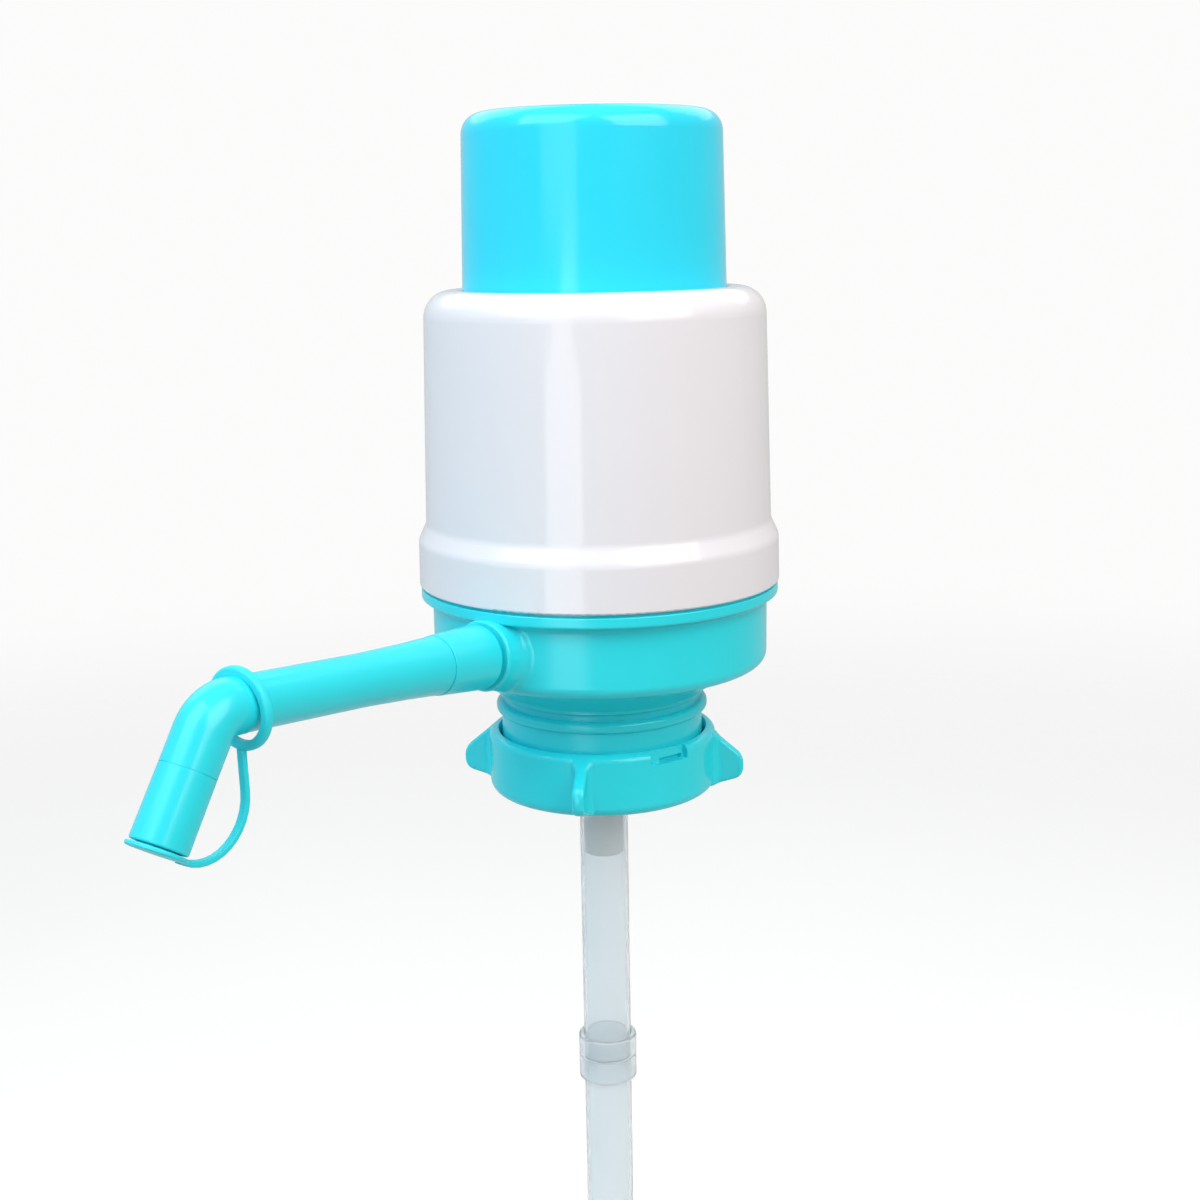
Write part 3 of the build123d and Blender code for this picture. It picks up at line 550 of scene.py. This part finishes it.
def bellows_corners():
    """Outline of the bellows: foot flange, folds, head flange, and the same folds inside."""
    low, high = box_mm("bellows")
    flange_r = high.x
    peak = flange_r - BELLOWS_FLANGE_REACH
    valley = peak - BELLOWS_FOLD
    first, last = low.z + BELLOWS_FLANGE, high.z - BELLOWS_FLANGE
    half = (last - first) / (2 * BELLOWS_FOLDS)
    folds = [(peak if i % 2 else valley, first + i * half, FOLD_ROUND) for i in range(1, 2 * BELLOWS_FOLDS)]
    inside = [(r - BELLOWS_WALL, z, FOLD_ROUND) for r, z, _ in reversed(folds)]
    bore = valley - BELLOWS_WALL
    return [
        (bore, low.z, FLANGE_ROUND),
        (flange_r, low.z, FLANGE_ROUND),
        (flange_r, first, FLANGE_ROUND),
        (valley, first, FLANGE_ROUND),
        *folds,
        (valley, last, FLANGE_ROUND),
        (peak, last, FLANGE_ROUND),
        (peak, high.z, FLANGE_ROUND),
        (bore, high.z, FLANGE_ROUND),
        *inside,
    ]


record_joints = {joint["name"]: joint for joint in frame["record"]["behaviour"]["joints"]}
blown_bellows = turned("blown_bellows", "bellows", bellows_corners(), BELLOWS_SEGMENTS)
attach(blown_bellows, "base")
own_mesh(blown_bellows)

# %% [markdown]
# ## The spout
#
# The spout is one moulded tube: a spigot with an O-ring groove that turns in the boss, a thick
# sleeve, and a slim end. A fine groove marks where the sleeve stops, and it reads as a dark line
# with a bright edge behind it. A line in the material would not catch the light like that, so the
# groove is part of the outline. The lathe's axis is the swivel's own, which the joint gives.

# %% Spout tube along the swivel's axis
spout_axis = Vector(record_joints["spout_swivel"]["axis"]).normalized()
spout_origin = Vector(record_joints["spout_swivel"]["pos_m"])
spout_place = along(spout_origin, spout_axis)

SPIGOT_R, SPIGOT_FROM, SPIGOT_BORE = 6.7, 45.0, 3.9
RING_GROOVE_R, RING_GROOVE_FROM, RING_GROOVE_TO = 5.25, 49.1, 50.9
SLEEVE_FROM, SLEEVE_FROM_R, SLEEVE_ROUND = 56.2, 8.9, 0.8
SLEEVE_TO, SLEEVE_TO_R = 74.0, 7.95
SEAM_W, SEAM_DEEP, SEAM_STEP = 0.35, 0.45, 0.2
SEAM_NEAR_ROUND, SEAM_FAR_ROUND = 0.25, 0.15
TAPER_TO, TAPER_TO_R, TAPER_ROUND = 86.0, 7.2, 30
SLIM_FROM, SLIM_FROM_R, SLIM_ROUND = 101.0, 6.75, 60
SPOUT_END, SPOUT_END_R, SPOUT_BORE = 141.5, 6.7, 5.1
SPOUT_ROOT_T = 2.5
FINE_EDGE, SMALL_EDGE, PLAIN_EDGE, SOFT_EDGE = 0.1, 0.2, 0.3, 0.4

spout_corners = [
    (SPIGOT_BORE, SPIGOT_FROM, PLAIN_EDGE),
    (SPIGOT_R, SPIGOT_FROM, SOFT_EDGE),
    (SPIGOT_R, RING_GROOVE_FROM, FINE_EDGE),
    (RING_GROOVE_R, RING_GROOVE_FROM),
    (RING_GROOVE_R, RING_GROOVE_TO),
    (SPIGOT_R, RING_GROOVE_TO, FINE_EDGE),
    (SPIGOT_R, SLEEVE_FROM),
    (SLEEVE_FROM_R, SLEEVE_FROM, SLEEVE_ROUND),
    (SLEEVE_TO_R, SLEEVE_TO, SEAM_NEAR_ROUND),
    (SLEEVE_TO_R - SEAM_DEEP, SLEEVE_TO),
    (SLEEVE_TO_R - SEAM_DEEP, SLEEVE_TO + SEAM_W),
    (SLEEVE_TO_R - SEAM_STEP, SLEEVE_TO + SEAM_W, SEAM_FAR_ROUND),
    (TAPER_TO_R, TAPER_TO, TAPER_ROUND),
    (SLIM_FROM_R, SLIM_FROM, SLIM_ROUND),
    (SPOUT_END_R, SPOUT_END, PLAIN_EDGE),
    (SPOUT_BORE, SPOUT_END, SMALL_EDGE),
    (SPOUT_BORE, SLEEVE_FROM + SPOUT_ROOT_T),
    (SPIGOT_BORE, SLEEVE_FROM + SPOUT_ROOT_T),
]
long_spout = turned("long_spout", "spout_tube", spout_corners, place=spout_place)
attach(long_spout, "spout")
print("spout along", [round(v, 3) for v in spout_axis])

# %% [markdown]
# ## The nozzle's tip and the stopper
#
# The tip is a short straight pipe pushed over the bend, so a fine seam shows where they meet: both
# edges are rounded and the line between them is in shade. The stopper is a soft plug with a thin
# flange, hollow from inside. The bend itself is the packed piece, which already has its form, and
# only the pieces with fine edges are turned again.

# %% Tip and stopper
NOZZLE_CORNER = 149.7
nozzle_axis = Vector(record_joints["stopper_pull"]["axis"]).normalized()
nozzle_origin = spout_origin + spout_axis * NOZZLE_CORNER * MM
nozzle_place = along(nozzle_origin, nozzle_axis)

TIP_FROM, TIP_FROM_R, TIP_SEAM_ROUND = 14.5, 6.85, 0.28
TIP_TO, TIP_TO_R, TIP_MOUTH_ROUND = 32.4, 6.95, 0.5
STOPPER_GAP = 0.4
STOPPER_SEAT = TIP_TO + STOPPER_GAP
STOPPER_FLANGE_R, STOPPER_FLANGE_T = 7.35, 1.1
STOPPER_BODY_R, STOPPER_CORE_R, STOPPER_BODY_H = 4.9, 3.1, 8.0
STOPPER_LEAD, STOPPER_LEAD_ROUND = 1.2, 0.6
STOPPER_SEGMENTS = 96
stopper_nose = STOPPER_SEAT - STOPPER_BODY_H

tip_corners = [
    (SPOUT_BORE, TIP_FROM, SMALL_EDGE),
    (TIP_FROM_R, TIP_FROM, TIP_SEAM_ROUND),
    (TIP_TO_R, TIP_TO, TIP_MOUTH_ROUND),
    (SPOUT_BORE, TIP_TO, PLAIN_EDGE),
]
nozzle_pipe = turned("nozzle_pipe", "nozzle_tip", tip_corners, place=nozzle_place)
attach(nozzle_pipe, "spout")

plug_corners = [
    (0, STOPPER_SEAT),
    (STOPPER_CORE_R, STOPPER_SEAT, PLAIN_EDGE),
    (STOPPER_CORE_R, stopper_nose, PLAIN_EDGE),
    (STOPPER_BODY_R - STOPPER_LEAD / 2, stopper_nose, PLAIN_EDGE),
    (STOPPER_BODY_R, stopper_nose + STOPPER_LEAD, STOPPER_LEAD_ROUND),
    (STOPPER_BODY_R, STOPPER_SEAT, SMALL_EDGE),
    (STOPPER_FLANGE_R, STOPPER_SEAT, PLAIN_EDGE),
    (STOPPER_FLANGE_R, STOPPER_SEAT + STOPPER_FLANGE_T, SOFT_EDGE),
    (0, STOPPER_SEAT + STOPPER_FLANGE_T),
]
soft_stopper = turned("soft_stopper", "stopper_plug", plug_corners, STOPPER_SEGMENTS, place=nozzle_place)
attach(soft_stopper, "stopper")
print("nozzle along", [round(v, 3) for v in nozzle_axis])

# %% [markdown]
# ## The stopper's ring
#
# The stopper can't get lost, because a soft ring holds it on the spout. The ring is wider than the
# spout, so it hangs: a little low, and leaning. A torus would be too round for this flat moulding,
# so it is turned too, in a frame that drops and leans it.

# %% Ring that hangs on the spout
RING_AT, RING_DROP, RING_LEAN = 141.1, 0.9, math.radians(6.0)
RING_BORE_R, RING_R, RING_T = 7.7, 10.05, 2.3
RING_ROUND = 0.9

ring_shift = Matrix.Translation(Vector((0, -RING_DROP, RING_AT)) * MM)
ring_place = spout_place @ ring_shift @ Matrix.Rotation(RING_LEAN, 4, "X")
ring_corners = [
    (RING_BORE_R, -RING_T / 2, SOFT_EDGE),
    (RING_R, -RING_T / 2, RING_ROUND),
    (RING_R, RING_T / 2, RING_ROUND),
    (RING_BORE_R, RING_T / 2, SOFT_EDGE),
]
hanging_ring = turned("hanging_ring", "stopper_ring", ring_corners, place=ring_place)
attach(hanging_ring, "spout")
print("ring at mm", [round(v / MM, 1) for v in ring_place.translation])

# %% [markdown]
# ## The stopper's strap
#
# A soft strap ties the stopper to its ring. It could be a curve object with a bevel, but a strap has a flat
# section with rounded edges, so a section is carried along a line instead: straight down from the ring, and
# round in one wide bend to the stopper's flange. When the stopper is pulled, the real strap's one end stays
# with the spout and its other end goes with the stopper; this piece is not attached to either.

# %% Strap carried along its line
STRAP_W, STRAP_T, STRAP_EDGE = 2.2, 1.6, 0.5
STRAP_BACK = 1.0
STRAP_BEND_SHARE = 0.97
STRAP_SINK = 0.35
STRAP_STEP = 0.8
STRAP_GAP = 0.3


def strap_line():
    """Points (y, z) in mm of the strap's middle line, from inside the ring to inside the flange."""
    root = ring_place @ (Vector((0, -RING_R, RING_T / 4)) * MM) / MM
    flange = nozzle_place @ (Vector((0, 0, STOPPER_SEAT + STOPPER_FLANGE_T / 2)) * MM) / MM
    inward = Vector((-nozzle_axis.z, nozzle_axis.y))
    end = Vector(flange.yz) + inward * (STOPPER_FLANGE_R + STRAP_GAP)
    top = Vector(root.yz)
    corner = end + inward * ((top.x + STRAP_BACK - end.x) / inward.x)
    half = (end - corner).angle(top - corner) / 2
    bend = STRAP_BEND_SHARE * min((end - corner).length, (top - corner).length) * math.tan(half)
    first = top + (top - corner).normalized() * STRAP_SINK
    last = end - inward * (STRAP_GAP + STRAP_SINK)
    line = rounded([tuple(first), (*corner, bend), tuple(last)], closed=False, room=1)
    fine = [line[0]]
    for point in line[1:]:
        start = fine[-1]
        steps = max(1, round((point - start).length / STRAP_STEP))
        fine += [start.lerp(point, step / steps) for step in range(1, steps + 1)]
    return fine


def carried(name, node, line, section):
    """Piece whose section of (sideways, across) points is carried along a line in the plane X = 0."""
    shape = bmesh.new()
    rows = []
    for i, point in enumerate(line):
        step = (line[min(i + 1, len(line) - 1)] - line[max(i - 1, 0)]).normalized()
        across = Vector((-step.y, step.x))
        rows.append([shape.verts.new((side, *(point + across * out))) for side, out in section])
    skin(shape, rows)
    shape.faces.new(rows[0])
    shape.faces.new(rows[-1])
    obj = finish_piece(name, shape, node)
    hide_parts(node)
    return obj


half_w, half_t = STRAP_W / 2, STRAP_T / 2
strap_corners = [(-half_w, -half_t), (half_w, -half_t), (half_w, half_t), (-half_w, half_t)]
strap_section = [tuple(p) for p in rounded([(*corner, STRAP_EDGE) for corner in strap_corners])]
strap_points = strap_line()
soft_strap = carried("soft_strap", "stopper_strap", strap_points, strap_section)
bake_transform(soft_strap)
print("strap mm", round(sum((b - a).length for a, b in zip(strap_points, strap_points[1:])), 1))

# %% [markdown]
# ## The collar's wall
#
# The collar is turned like the rest, but a recess with a slit breaks its rim in two places. A
# boolean cut could make the recess, yet it leaves long thin faces that shade badly. Here the lathe's
# outline changes on its way round, so the recess is part of the turning: there are three outlines
# with equally many points, and a list of angles that says which one stands where.

# %% Outlines round the collar
COLLAR_R, COLLAR_MOUTH_R, COLLAR_BORE_R = 33.4, 30.8, 30.0
COLLAR_LEAD, COLLAR_LIP_ROUND, COLLAR_FOOT_ROUND = 2.4, 2.2, 3.0
COLLAR_ARC_ROOM = 0.9
COLLAR_STEP_DEG = 2.0
POCKET_R, POCKET_TOP, POCKET_FLOOR, FLOOR_BORE_R = 31.1, -14.4, -22.0, 28.3
RECESS_DEGS, RECESS_W, RECESS_H, RECESS_DEEP = (71.0, 251.0), 13.0, 3.6, 1.9
SLIT_FROM, SLIT_TO, SLIT_H, SLIT_DEEP = -2.8, 5.8, 1.2, 3.35
collar_low, collar_high = (corner.z for corner in box_mm("collar_nut"))
recess_floor = collar_high - RECESS_H


def filled(points, count):
    """The same line, with points added in its longest runs until it has the count."""
    line = [Vector(point) for point in points]
    while len(line) < count:
        i = max(range(len(line) - 1), key=lambda k: (line[k + 1] - line[k]).length)
        line.insert(i + 1, line[i].lerp(line[i + 1], 0.5))
    return line


def collar_outlines():
    """Outlines of the collar's wall: plain, through a recess, and through a recess with its slit."""
    back, deep = COLLAR_R - RECESS_DEEP, COLLAR_R - SLIT_DEEP
    slit_top = recess_floor + SLIT_H
    start, end = (COLLAR_R, recess_floor), (COLLAR_MOUTH_R, collar_high)
    foot = [(FLOOR_BORE_R, collar_low), (COLLAR_R, collar_low, COLLAR_FOOT_ROUND), start]
    lip = [start, (COLLAR_R, collar_high, COLLAR_LIP_ROUND), end]
    plain = rounded(lip, closed=False, room=COLLAR_ARC_ROOM)
    recess = [start, (back, recess_floor), (back, collar_high), end]
    slit = [start, (deep, recess_floor), (deep, slit_top), (back, slit_top), (back, collar_high), end]
    inside = [
        (COLLAR_BORE_R, collar_high - COLLAR_LEAD),
        (COLLAR_BORE_R, POCKET_TOP),
        (POCKET_R, POCKET_TOP),
        (POCKET_R, POCKET_FLOOR),
        (FLOOR_BORE_R, POCKET_FLOOR),
    ]
    before = rounded(foot, closed=False, room=COLLAR_ARC_ROOM)[:-1]
    after = [Vector(point) for point in inside]
    rims = {"plain": plain, "recess": filled(recess, len(plain)), "slit": filled(slit, len(plain))}
    return {kind: before + rim + after for kind, rim in rims.items()}


def collar_columns():
    """Angles round the collar in degrees with the kind of outline there; a cut has two at one angle."""
    cuts = {}
    edges = (-RECESS_W / 2, SLIT_FROM, SLIT_TO, RECESS_W / 2)
    kinds = ("plain", "recess", "slit", "recess", "plain")
    for middle in RECESS_DEGS:
        for i, edge in enumerate(edges):
            turn = math.degrees(math.asin(edge / COLLAR_R))
            cuts[(middle - 90 + turn) % 360] = kinds[i : i + 2]
    whole = [i * COLLAR_STEP_DEG for i in range(round(360 / COLLAR_STEP_DEG))]
    columns, kind = [], "plain"
    for angle in sorted({*whole, *cuts}):
        columns.append((angle, kind))
        if angle in cuts:
            kind = cuts[angle][1]
            columns.append((angle, kind))
    return columns


wall_outlines = collar_outlines()
wall_columns = collar_columns()
print("collar outlines of", len(wall_outlines["plain"]), "points at", len(wall_columns), "places")

# %% [markdown]
# ## The collar's ears
#
# Four wing ears give the fingers a hold. An ear cut from a plate would look stamped, and these are
# moulded: each one grows out of the wall with a flared root, thins to a rounded nose, and has a lobe
# for an end. So an ear is a row of rounded sections, whose height follows two lines and whose
# thickness follows the flare and the nose.

# %% Collar with its ears
EAR_COUNT, EAR_FIRST_DEG = 4, 26.0
EAR_ROOT_R, EAR_TIP_R, EAR_T = 32.4, 41.95, 3.4
EAR_ROOT_TOP, EAR_TIP_TOP, EAR_TIP_LOW, EAR_ROOT_LOW = -6.9, -14.8, -20.9, -23.9
EAR_LOBE_TOP, EAR_LOBE_LOW = 5.0, 3.4
EAR_EDGE, EAR_EDGE_SHARE = 1.2, 0.9
EAR_FLARE, EAR_FLARE_RUN = 1.5, 2.4
EAR_NOSE, EAR_NOSE_T = 1.4, 0.35
EAR_ROWS = 24
NEAR = 1e-3


def level_at(line, r):
    """Height of a line of (r, z) points at a radius."""
    for a, b in zip(line, line[1:]):
        if abs(a.x - b.x) > NEAR and min(a.x, b.x) - NEAR <= r <= max(a.x, b.x) + NEAR:
            return a.y + (b.y - a.y) * (r - a.x) / (b.x - a.x)
    return line[-1].y


def half_ear_at(r):
    """Half the thickness of an ear at a radius: the flare at its root, its body and its thin nose."""
    flare = min(1.0, max(0.0, (r - COLLAR_R) / EAR_FLARE_RUN))
    nose = max(0.0, (r - EAR_TIP_R + EAR_NOSE) / EAR_NOSE)
    body = (EAR_T / 2 - EAR_NOSE_T) * math.sqrt(max(0.0, 1 - nose**2))
    return EAR_NOSE_T + body + EAR_FLARE * (1 - flare) ** 2


def add_ear(shape, turn_deg):
    """One wing ear: rounded sections from inside the wall out to the lobe."""
    root_top, tip_top = (EAR_ROOT_R, EAR_ROOT_TOP), (EAR_TIP_R, EAR_TIP_TOP)
    root_low, tip_low = (EAR_ROOT_R, EAR_ROOT_LOW), (EAR_TIP_R, EAR_TIP_LOW)
    upper = rounded([root_top, (*tip_top, EAR_LOBE_TOP), tip_low], closed=False)
    lower = rounded([tip_top, (*tip_low, EAR_LOBE_LOW), root_low], closed=False)
    angle = math.radians(turn_deg - 90)
    out = Vector((math.cos(angle), math.sin(angle), 0))
    side = Vector((-math.sin(angle), math.cos(angle), 0))
    rows = []
    for i in range(EAR_ROWS + 1):
        r = EAR_ROOT_R + (EAR_TIP_R - EAR_ROOT_R) * math.sin(math.pi / 2 * i / EAR_ROWS)
        high_z, low_z = level_at(upper, r), level_at(lower, r)
        half = half_ear_at(r)
        edge = min(EAR_EDGE, EAR_EDGE_SHARE * half)
        corners = [(-half, low_z), (half, low_z), (half, high_z), (-half, high_z)]
        section = rounded([(*corner, edge) for corner in corners])
        rows.append([shape.verts.new(out * r + side * point.x + up * point.y) for point in section])
    skin(shape, rows)
    shape.faces.new(rows[0])
    shape.faces.new(rows[-1])


def collar_nut():
    """The collar: its turned wall, with the outline that each angle asks for, and its ears."""
    shape = bmesh.new()
    rows = []
    for angle_deg, kind in wall_columns:
        c, s = math.cos(math.radians(angle_deg)), math.sin(math.radians(angle_deg))
        rows.append([shape.verts.new((p.x * c, p.x * s, p.y)) for p in wall_outlines[kind]])
    skin(shape, rows + rows[:1])
    for k in range(EAR_COUNT):
        add_ear(shape, EAR_FIRST_DEG + 360 * k / EAR_COUNT)
    obj = finish_piece("winged_collar", shape, "collar_nut")
    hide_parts("collar_nut")
    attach(obj, "collar")
    return obj


winged_collar = collar_nut()
print("collar faces", len(winged_collar.data.polygons))

# %% [markdown]
# ## The collar's thread
#
# The collar climbs the sleeve on a coarse thread. At rest it is hidden, and it shows when the
# collar is screwed down. A bump in the material would stay flat in outline, so each half is a ridge
# wound on a helix, sunk a little into its wall and tapering out at both ends, with the sleeve's
# ridge between the turns of the collar's.

# %% Thread ridges on the sleeve and in the collar
THREAD_PITCH = 4.0
THREAD_STEPS = 72
THREAD_SINK = 0.3
THREAD_TALL = 0.35
THREAD_FOOT, THREAD_CREST = 1.7, 0.7
THREAD_RUN_OUT = 0.12
SLEEVE_WALL_R = 29.5
SLEEVE_THREAD_LOW, SLEEVE_THREAD_TURNS, SLEEVE_THREAD_DEG = -12.6, 1.1, 0.0
COLLAR_THREAD_LOW, COLLAR_THREAD_TURNS, COLLAR_THREAD_DEG = -12.4, 0.8, 180.0


def thread_ridge(name, node, body, wall_r, outward, low, turns, first_deg):
    """Helical ridge on a round wall, standing out of it or into its bore."""
    shape = bmesh.new()
    rows = []
    steps = round(THREAD_STEPS * turns)
    for i in range(steps + 1):
        share = i / steps
        grow = min(1.0, share / THREAD_RUN_OUT, (1 - share) / THREAD_RUN_OUT)
        angle = math.radians(first_deg) + math.tau * turns * share
        middle = low + THREAD_PITCH * turns * share
        foot_r = wall_r - outward * THREAD_SINK
        crest_r = wall_r + outward * (THREAD_TALL * grow - THREAD_SINK * (1 - grow))
        profile = [
            (foot_r, middle - THREAD_FOOT / 2),
            (crest_r, middle - THREAD_CREST / 2),
            (crest_r, middle + THREAD_CREST / 2),
            (foot_r, middle + THREAD_FOOT / 2),
        ]
        rows.append([shape.verts.new((r * math.cos(angle), r * math.sin(angle), z)) for r, z in profile])
    skin(shape, rows)
    obj = finish_piece(name, shape, node)
    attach(obj, body)
    return obj


sleeve_thread = thread_ridge(
    "sleeve_thread", "neck_skirt", "base", SLEEVE_WALL_R, 1,
    SLEEVE_THREAD_LOW, SLEEVE_THREAD_TURNS, SLEEVE_THREAD_DEG,
)
collar_thread = thread_ridge(
    "collar_thread", "collar_nut", "collar", COLLAR_BORE_R, -1,
    COLLAR_THREAD_LOW, COLLAR_THREAD_TURNS, COLLAR_THREAD_DEG,
)
print("thread faces", len(sleeve_thread.data.polygons), len(collar_thread.data.polygons))

# %% [markdown]
# ## The white world
#
# The pump is shown on plain white. A bright world would give that, but would also wash out the shade
# on the pump. So the world is white to the camera and through clear plastic, dimmer in a gloss, where
# the pump's edges have to keep their colour, and dimmest as a lamp. The light path node tells these
# rays apart.

# %% World
WORLD_SEEN, WORLD_SEEN_COLOUR = 0.97, (1.0, 1.0, 0.995, 1)
WORLD_LAMP, WORLD_LAMP_COLOUR = 0.22, (0.92, 1.0, 0.96, 1)
GLOSS_SHARE = 0.5


def seen_rays(tree):
    """One where a ray comes from the camera or through clear plastic, and a share of it from a gloss."""
    ray = tree.nodes.new("ShaderNodeLightPath")
    gloss = tree.nodes.new("ShaderNodeMath")
    gloss.operation = "MULTIPLY"
    tree.links.new(ray.outputs["Is Glossy Ray"], gloss.inputs[0])
    gloss.inputs[1].default_value = GLOSS_SHARE
    seen = ray.outputs["Is Camera Ray"]
    for kind in (ray.outputs["Is Transmission Ray"], gloss.outputs["Value"]):
        either = tree.nodes.new("ShaderNodeMath")
        either.operation = "MAXIMUM"
        tree.links.new(seen, either.inputs[0])
        tree.links.new(kind, either.inputs[1])
        seen = either.outputs["Value"]
    return seen


def white_world():
    """World that is white where it is seen, and a dim lamp with a trace of green elsewhere."""
    world = bpy.data.worlds.new("studio")
    world.use_nodes = True
    tree = world.node_tree
    tree.nodes.clear()
    mix = tree.nodes.new("ShaderNodeMixShader")
    tree.links.new(seen_rays(tree), mix.inputs["Fac"])
    skies = ((WORLD_LAMP, WORLD_LAMP_COLOUR), (WORLD_SEEN, WORLD_SEEN_COLOUR))
    for socket, (strength, colour) in enumerate(skies, start=1):
        sky = tree.nodes.new("ShaderNodeBackground")
        sky.inputs["Color"].default_value = colour
        sky.inputs["Strength"].default_value = strength
        tree.links.new(sky.outputs["Background"], mix.inputs[socket])
    output = tree.nodes.new("ShaderNodeOutputWorld")
    tree.links.new(mix.outputs["Shader"], output.inputs["Surface"])
    bpy.context.scene.world = world


white_world()
print("world seen at", WORLD_SEEN, "and lighting at", WORLD_LAMP)

# %% [markdown]
# ## The floor
#
# The floor keeps the pump's shadow. A white floor would throw more light up under the pump, so this
# one is a pale grey that glows a little where it is seen, and fades out before its edge shows. From
# below it is clear, so a low camera still sees the pump.

# %% Floor
FLOOR_GAP = 0.5 * MM
FLOOR_HALF = 2.6
FADE_FROM, FADE_TO = 0.9, 2.4
FLOOR_LIFT = 0.62
FLOOR_CLOUD, FLOOR_ROUGHNESS = 400, 0.8
FLOOR_DEEP, FLOOR_LIGHT = (0.52, 0.52, 0.505), (0.55, 0.55, 0.535)


def floor_finish():
    """Pale floor that keeps the shadow, and fades to clear towards its edge and from below."""
    finish = Finish("floor")
    finish.tint(finish.noise(FLOOR_CLOUD, detail=2), FLOOR_DEEP, FLOOR_LIGHT)
    finish.set(Roughness=FLOOR_ROUGHNESS)
    glow = finish.add("Emission")
    glow.inputs["Color"].default_value = (1, 1, 1, 1)
    lift = finish.between(seen_rays(finish.tree), 0.0, FLOOR_LIFT, 0.0, 1.0)
    finish.link(lift, glow.inputs["Strength"])
    lit = finish.add("AddShader")
    finish.link(finish.shader.outputs["BSDF"], lit.inputs[0])
    finish.link(glow.outputs["Emission"], lit.inputs[1])
    reach = finish.add("VectorMath", operation="LENGTH")
    finish.link(finish.place, reach.inputs[0])
    edge = finish.between(reach.outputs["Value"], 0.0, 1.0, FADE_FROM, FADE_TO)
    under = finish.add("Math", operation="MAXIMUM")
    finish.link(edge, under.inputs[0])
    finish.link(finish.add("NewGeometry").outputs["Backfacing"], under.inputs[1])
    clear = finish.add("BsdfTransparent")
    mix = finish.add("MixShader")
    finish.link(under.outputs["Value"], mix.inputs["Fac"])
    finish.link(lit.outputs["Shader"], mix.inputs[1])
    finish.link(clear.outputs["BSDF"], mix.inputs[2])
    finish.link(mix.outputs["Shader"], finish.output.inputs["Surface"])
    return finish.material


def add_floor():
    """Square floor just under the foot of the tube."""
    mesh = bpy.data.meshes.new("floor")
    half = FLOOR_HALF
    corners = [(-half, -half, 0), (half, -half, 0), (half, half, 0), (-half, half, 0)]
    mesh.from_pydata(corners, [], [(0, 1, 2, 3)])
    floor = bpy.data.objects.new("floor", mesh)
    floor.location.z = cad_low.z - FLOOR_GAP
    floor.data.materials.append(floor_finish())
    bpy.context.scene.collection.objects.link(floor)
    return floor


floor = add_floor()
print("floor at mm", round(floor.location.z / MM, 1))

# %% [markdown]
# ## Lamps
#
# The photograph is lit softly from the front and above, cooler on the left and warmer on the right.
# Each lamp is a soft area lamp placed by its bearing from the camera, and the two behind keep the
# back readable. A tall window draws the upright highlight on the cap and the shell: it stands twice
# as far round as the highlight on the round wall, and its panes differ in width, as the highlight
# does. The panes only show in the gloss, so they can be as bright as they look without flattening
# the shade under the rim.

# %% Lamps by bearing and height
AIM = Vector((0, 0, 75 * MM))
WINDOW_DISTANCE = 0.75
WINDOW_COLOUR = (1.0, 0.98, 0.96)


def add_lamp(name, bearing_deg, height_deg, distance, size, power, colour, in_gloss=True):
    """Soft lamp to the left of the camera by its bearing, aimed at the body of the pump."""
    bearing = math.radians(bearing_deg)
    height = math.radians(height_deg)
    level = -away * math.cos(bearing) - sideways * math.sin(bearing)
    direction = level * math.cos(height) + up * math.sin(height)
    lamp = bpy.data.lights.new(name, "AREA")
    lamp.shape = "RECTANGLE"
    lamp.size, lamp.size_y = size
    lamp.energy = power
    lamp.color = colour
    obj = bpy.data.objects.new(name, lamp)
    obj.location = AIM + direction * distance
    obj.rotation_mode = "QUATERNION"
    obj.rotation_quaternion = (-direction).to_track_quat("-Z", "Y")
    obj.visible_glossy = in_gloss
    bpy.context.scene.collection.objects.link(obj)
    return obj


def add_pane(name, bearing_deg, low_deg, high_deg, width, glow):
    """Pane of the window between two heights, seen in the gloss only, with its glow as radiance."""
    low, high = (WINDOW_DISTANCE * math.tan(math.radians(angle)) for angle in (low_deg, high_deg))
    middle = math.degrees(math.atan2((low + high) / 2, WINDOW_DISTANCE))
    size = (width, high - low)
    power = glow * math.pi * width * (high - low)
    pane = add_lamp(name, bearing_deg, middle, WINDOW_DISTANCE, size, power, WINDOW_COLOUR)
    pane.visible_diffuse = False
    pane.visible_transmission = False
    return pane


# Lamps: bearing and height in degrees, distance and size in metres, power in watts, colour.
# Panes: bearing, lowest and highest angle in degrees, width in metres, radiance.
lamps = [
    add_lamp("key", 44, 46, 0.8, (0.64, 0.56), 3.85, (0.86, 0.94, 1.0)),
    add_lamp("fill", -44, 35, 1.2, (1.0, 1.0), 11.6, (1.0, 0.955, 0.94)),
    add_lamp("sky", 76, 14, 1.0, (0.8, 0.8), 3.5, (0.56, 0.80, 1.0), in_gloss=False),
    add_lamp("top", 0, 82, 1.3, (1.2, 1.2), 1.7, (0.88, 0.985, 1.0)),
    add_lamp("back left", 145, 40, 1.3, (1.0, 0.8), 2.8, (0.95, 0.98, 1.0)),
    add_lamp("back right", -145, 40, 1.3, (1.0, 0.8), 2.8, (1.0, 0.98, 0.96)),
    add_pane("upper pane", 28, 6.6, 24.0, 0.40, 1.5),
    add_pane("middle pane", 21, 0.8, 6.6, 0.17, 2.8),
    add_pane("lower pane", 21, -20.0, 0.8, 0.30, 2.8),
]
bpy.context.scene.view_settings.view_transform = "Standard"
print("lamps", [lamp.name for lamp in lamps])

# %% [markdown]
# ## The dressed pump's box
#
# The dressed pump has to fill the same box as the packed one. A look at the viewport can't show a tenth of
# a millimetre.
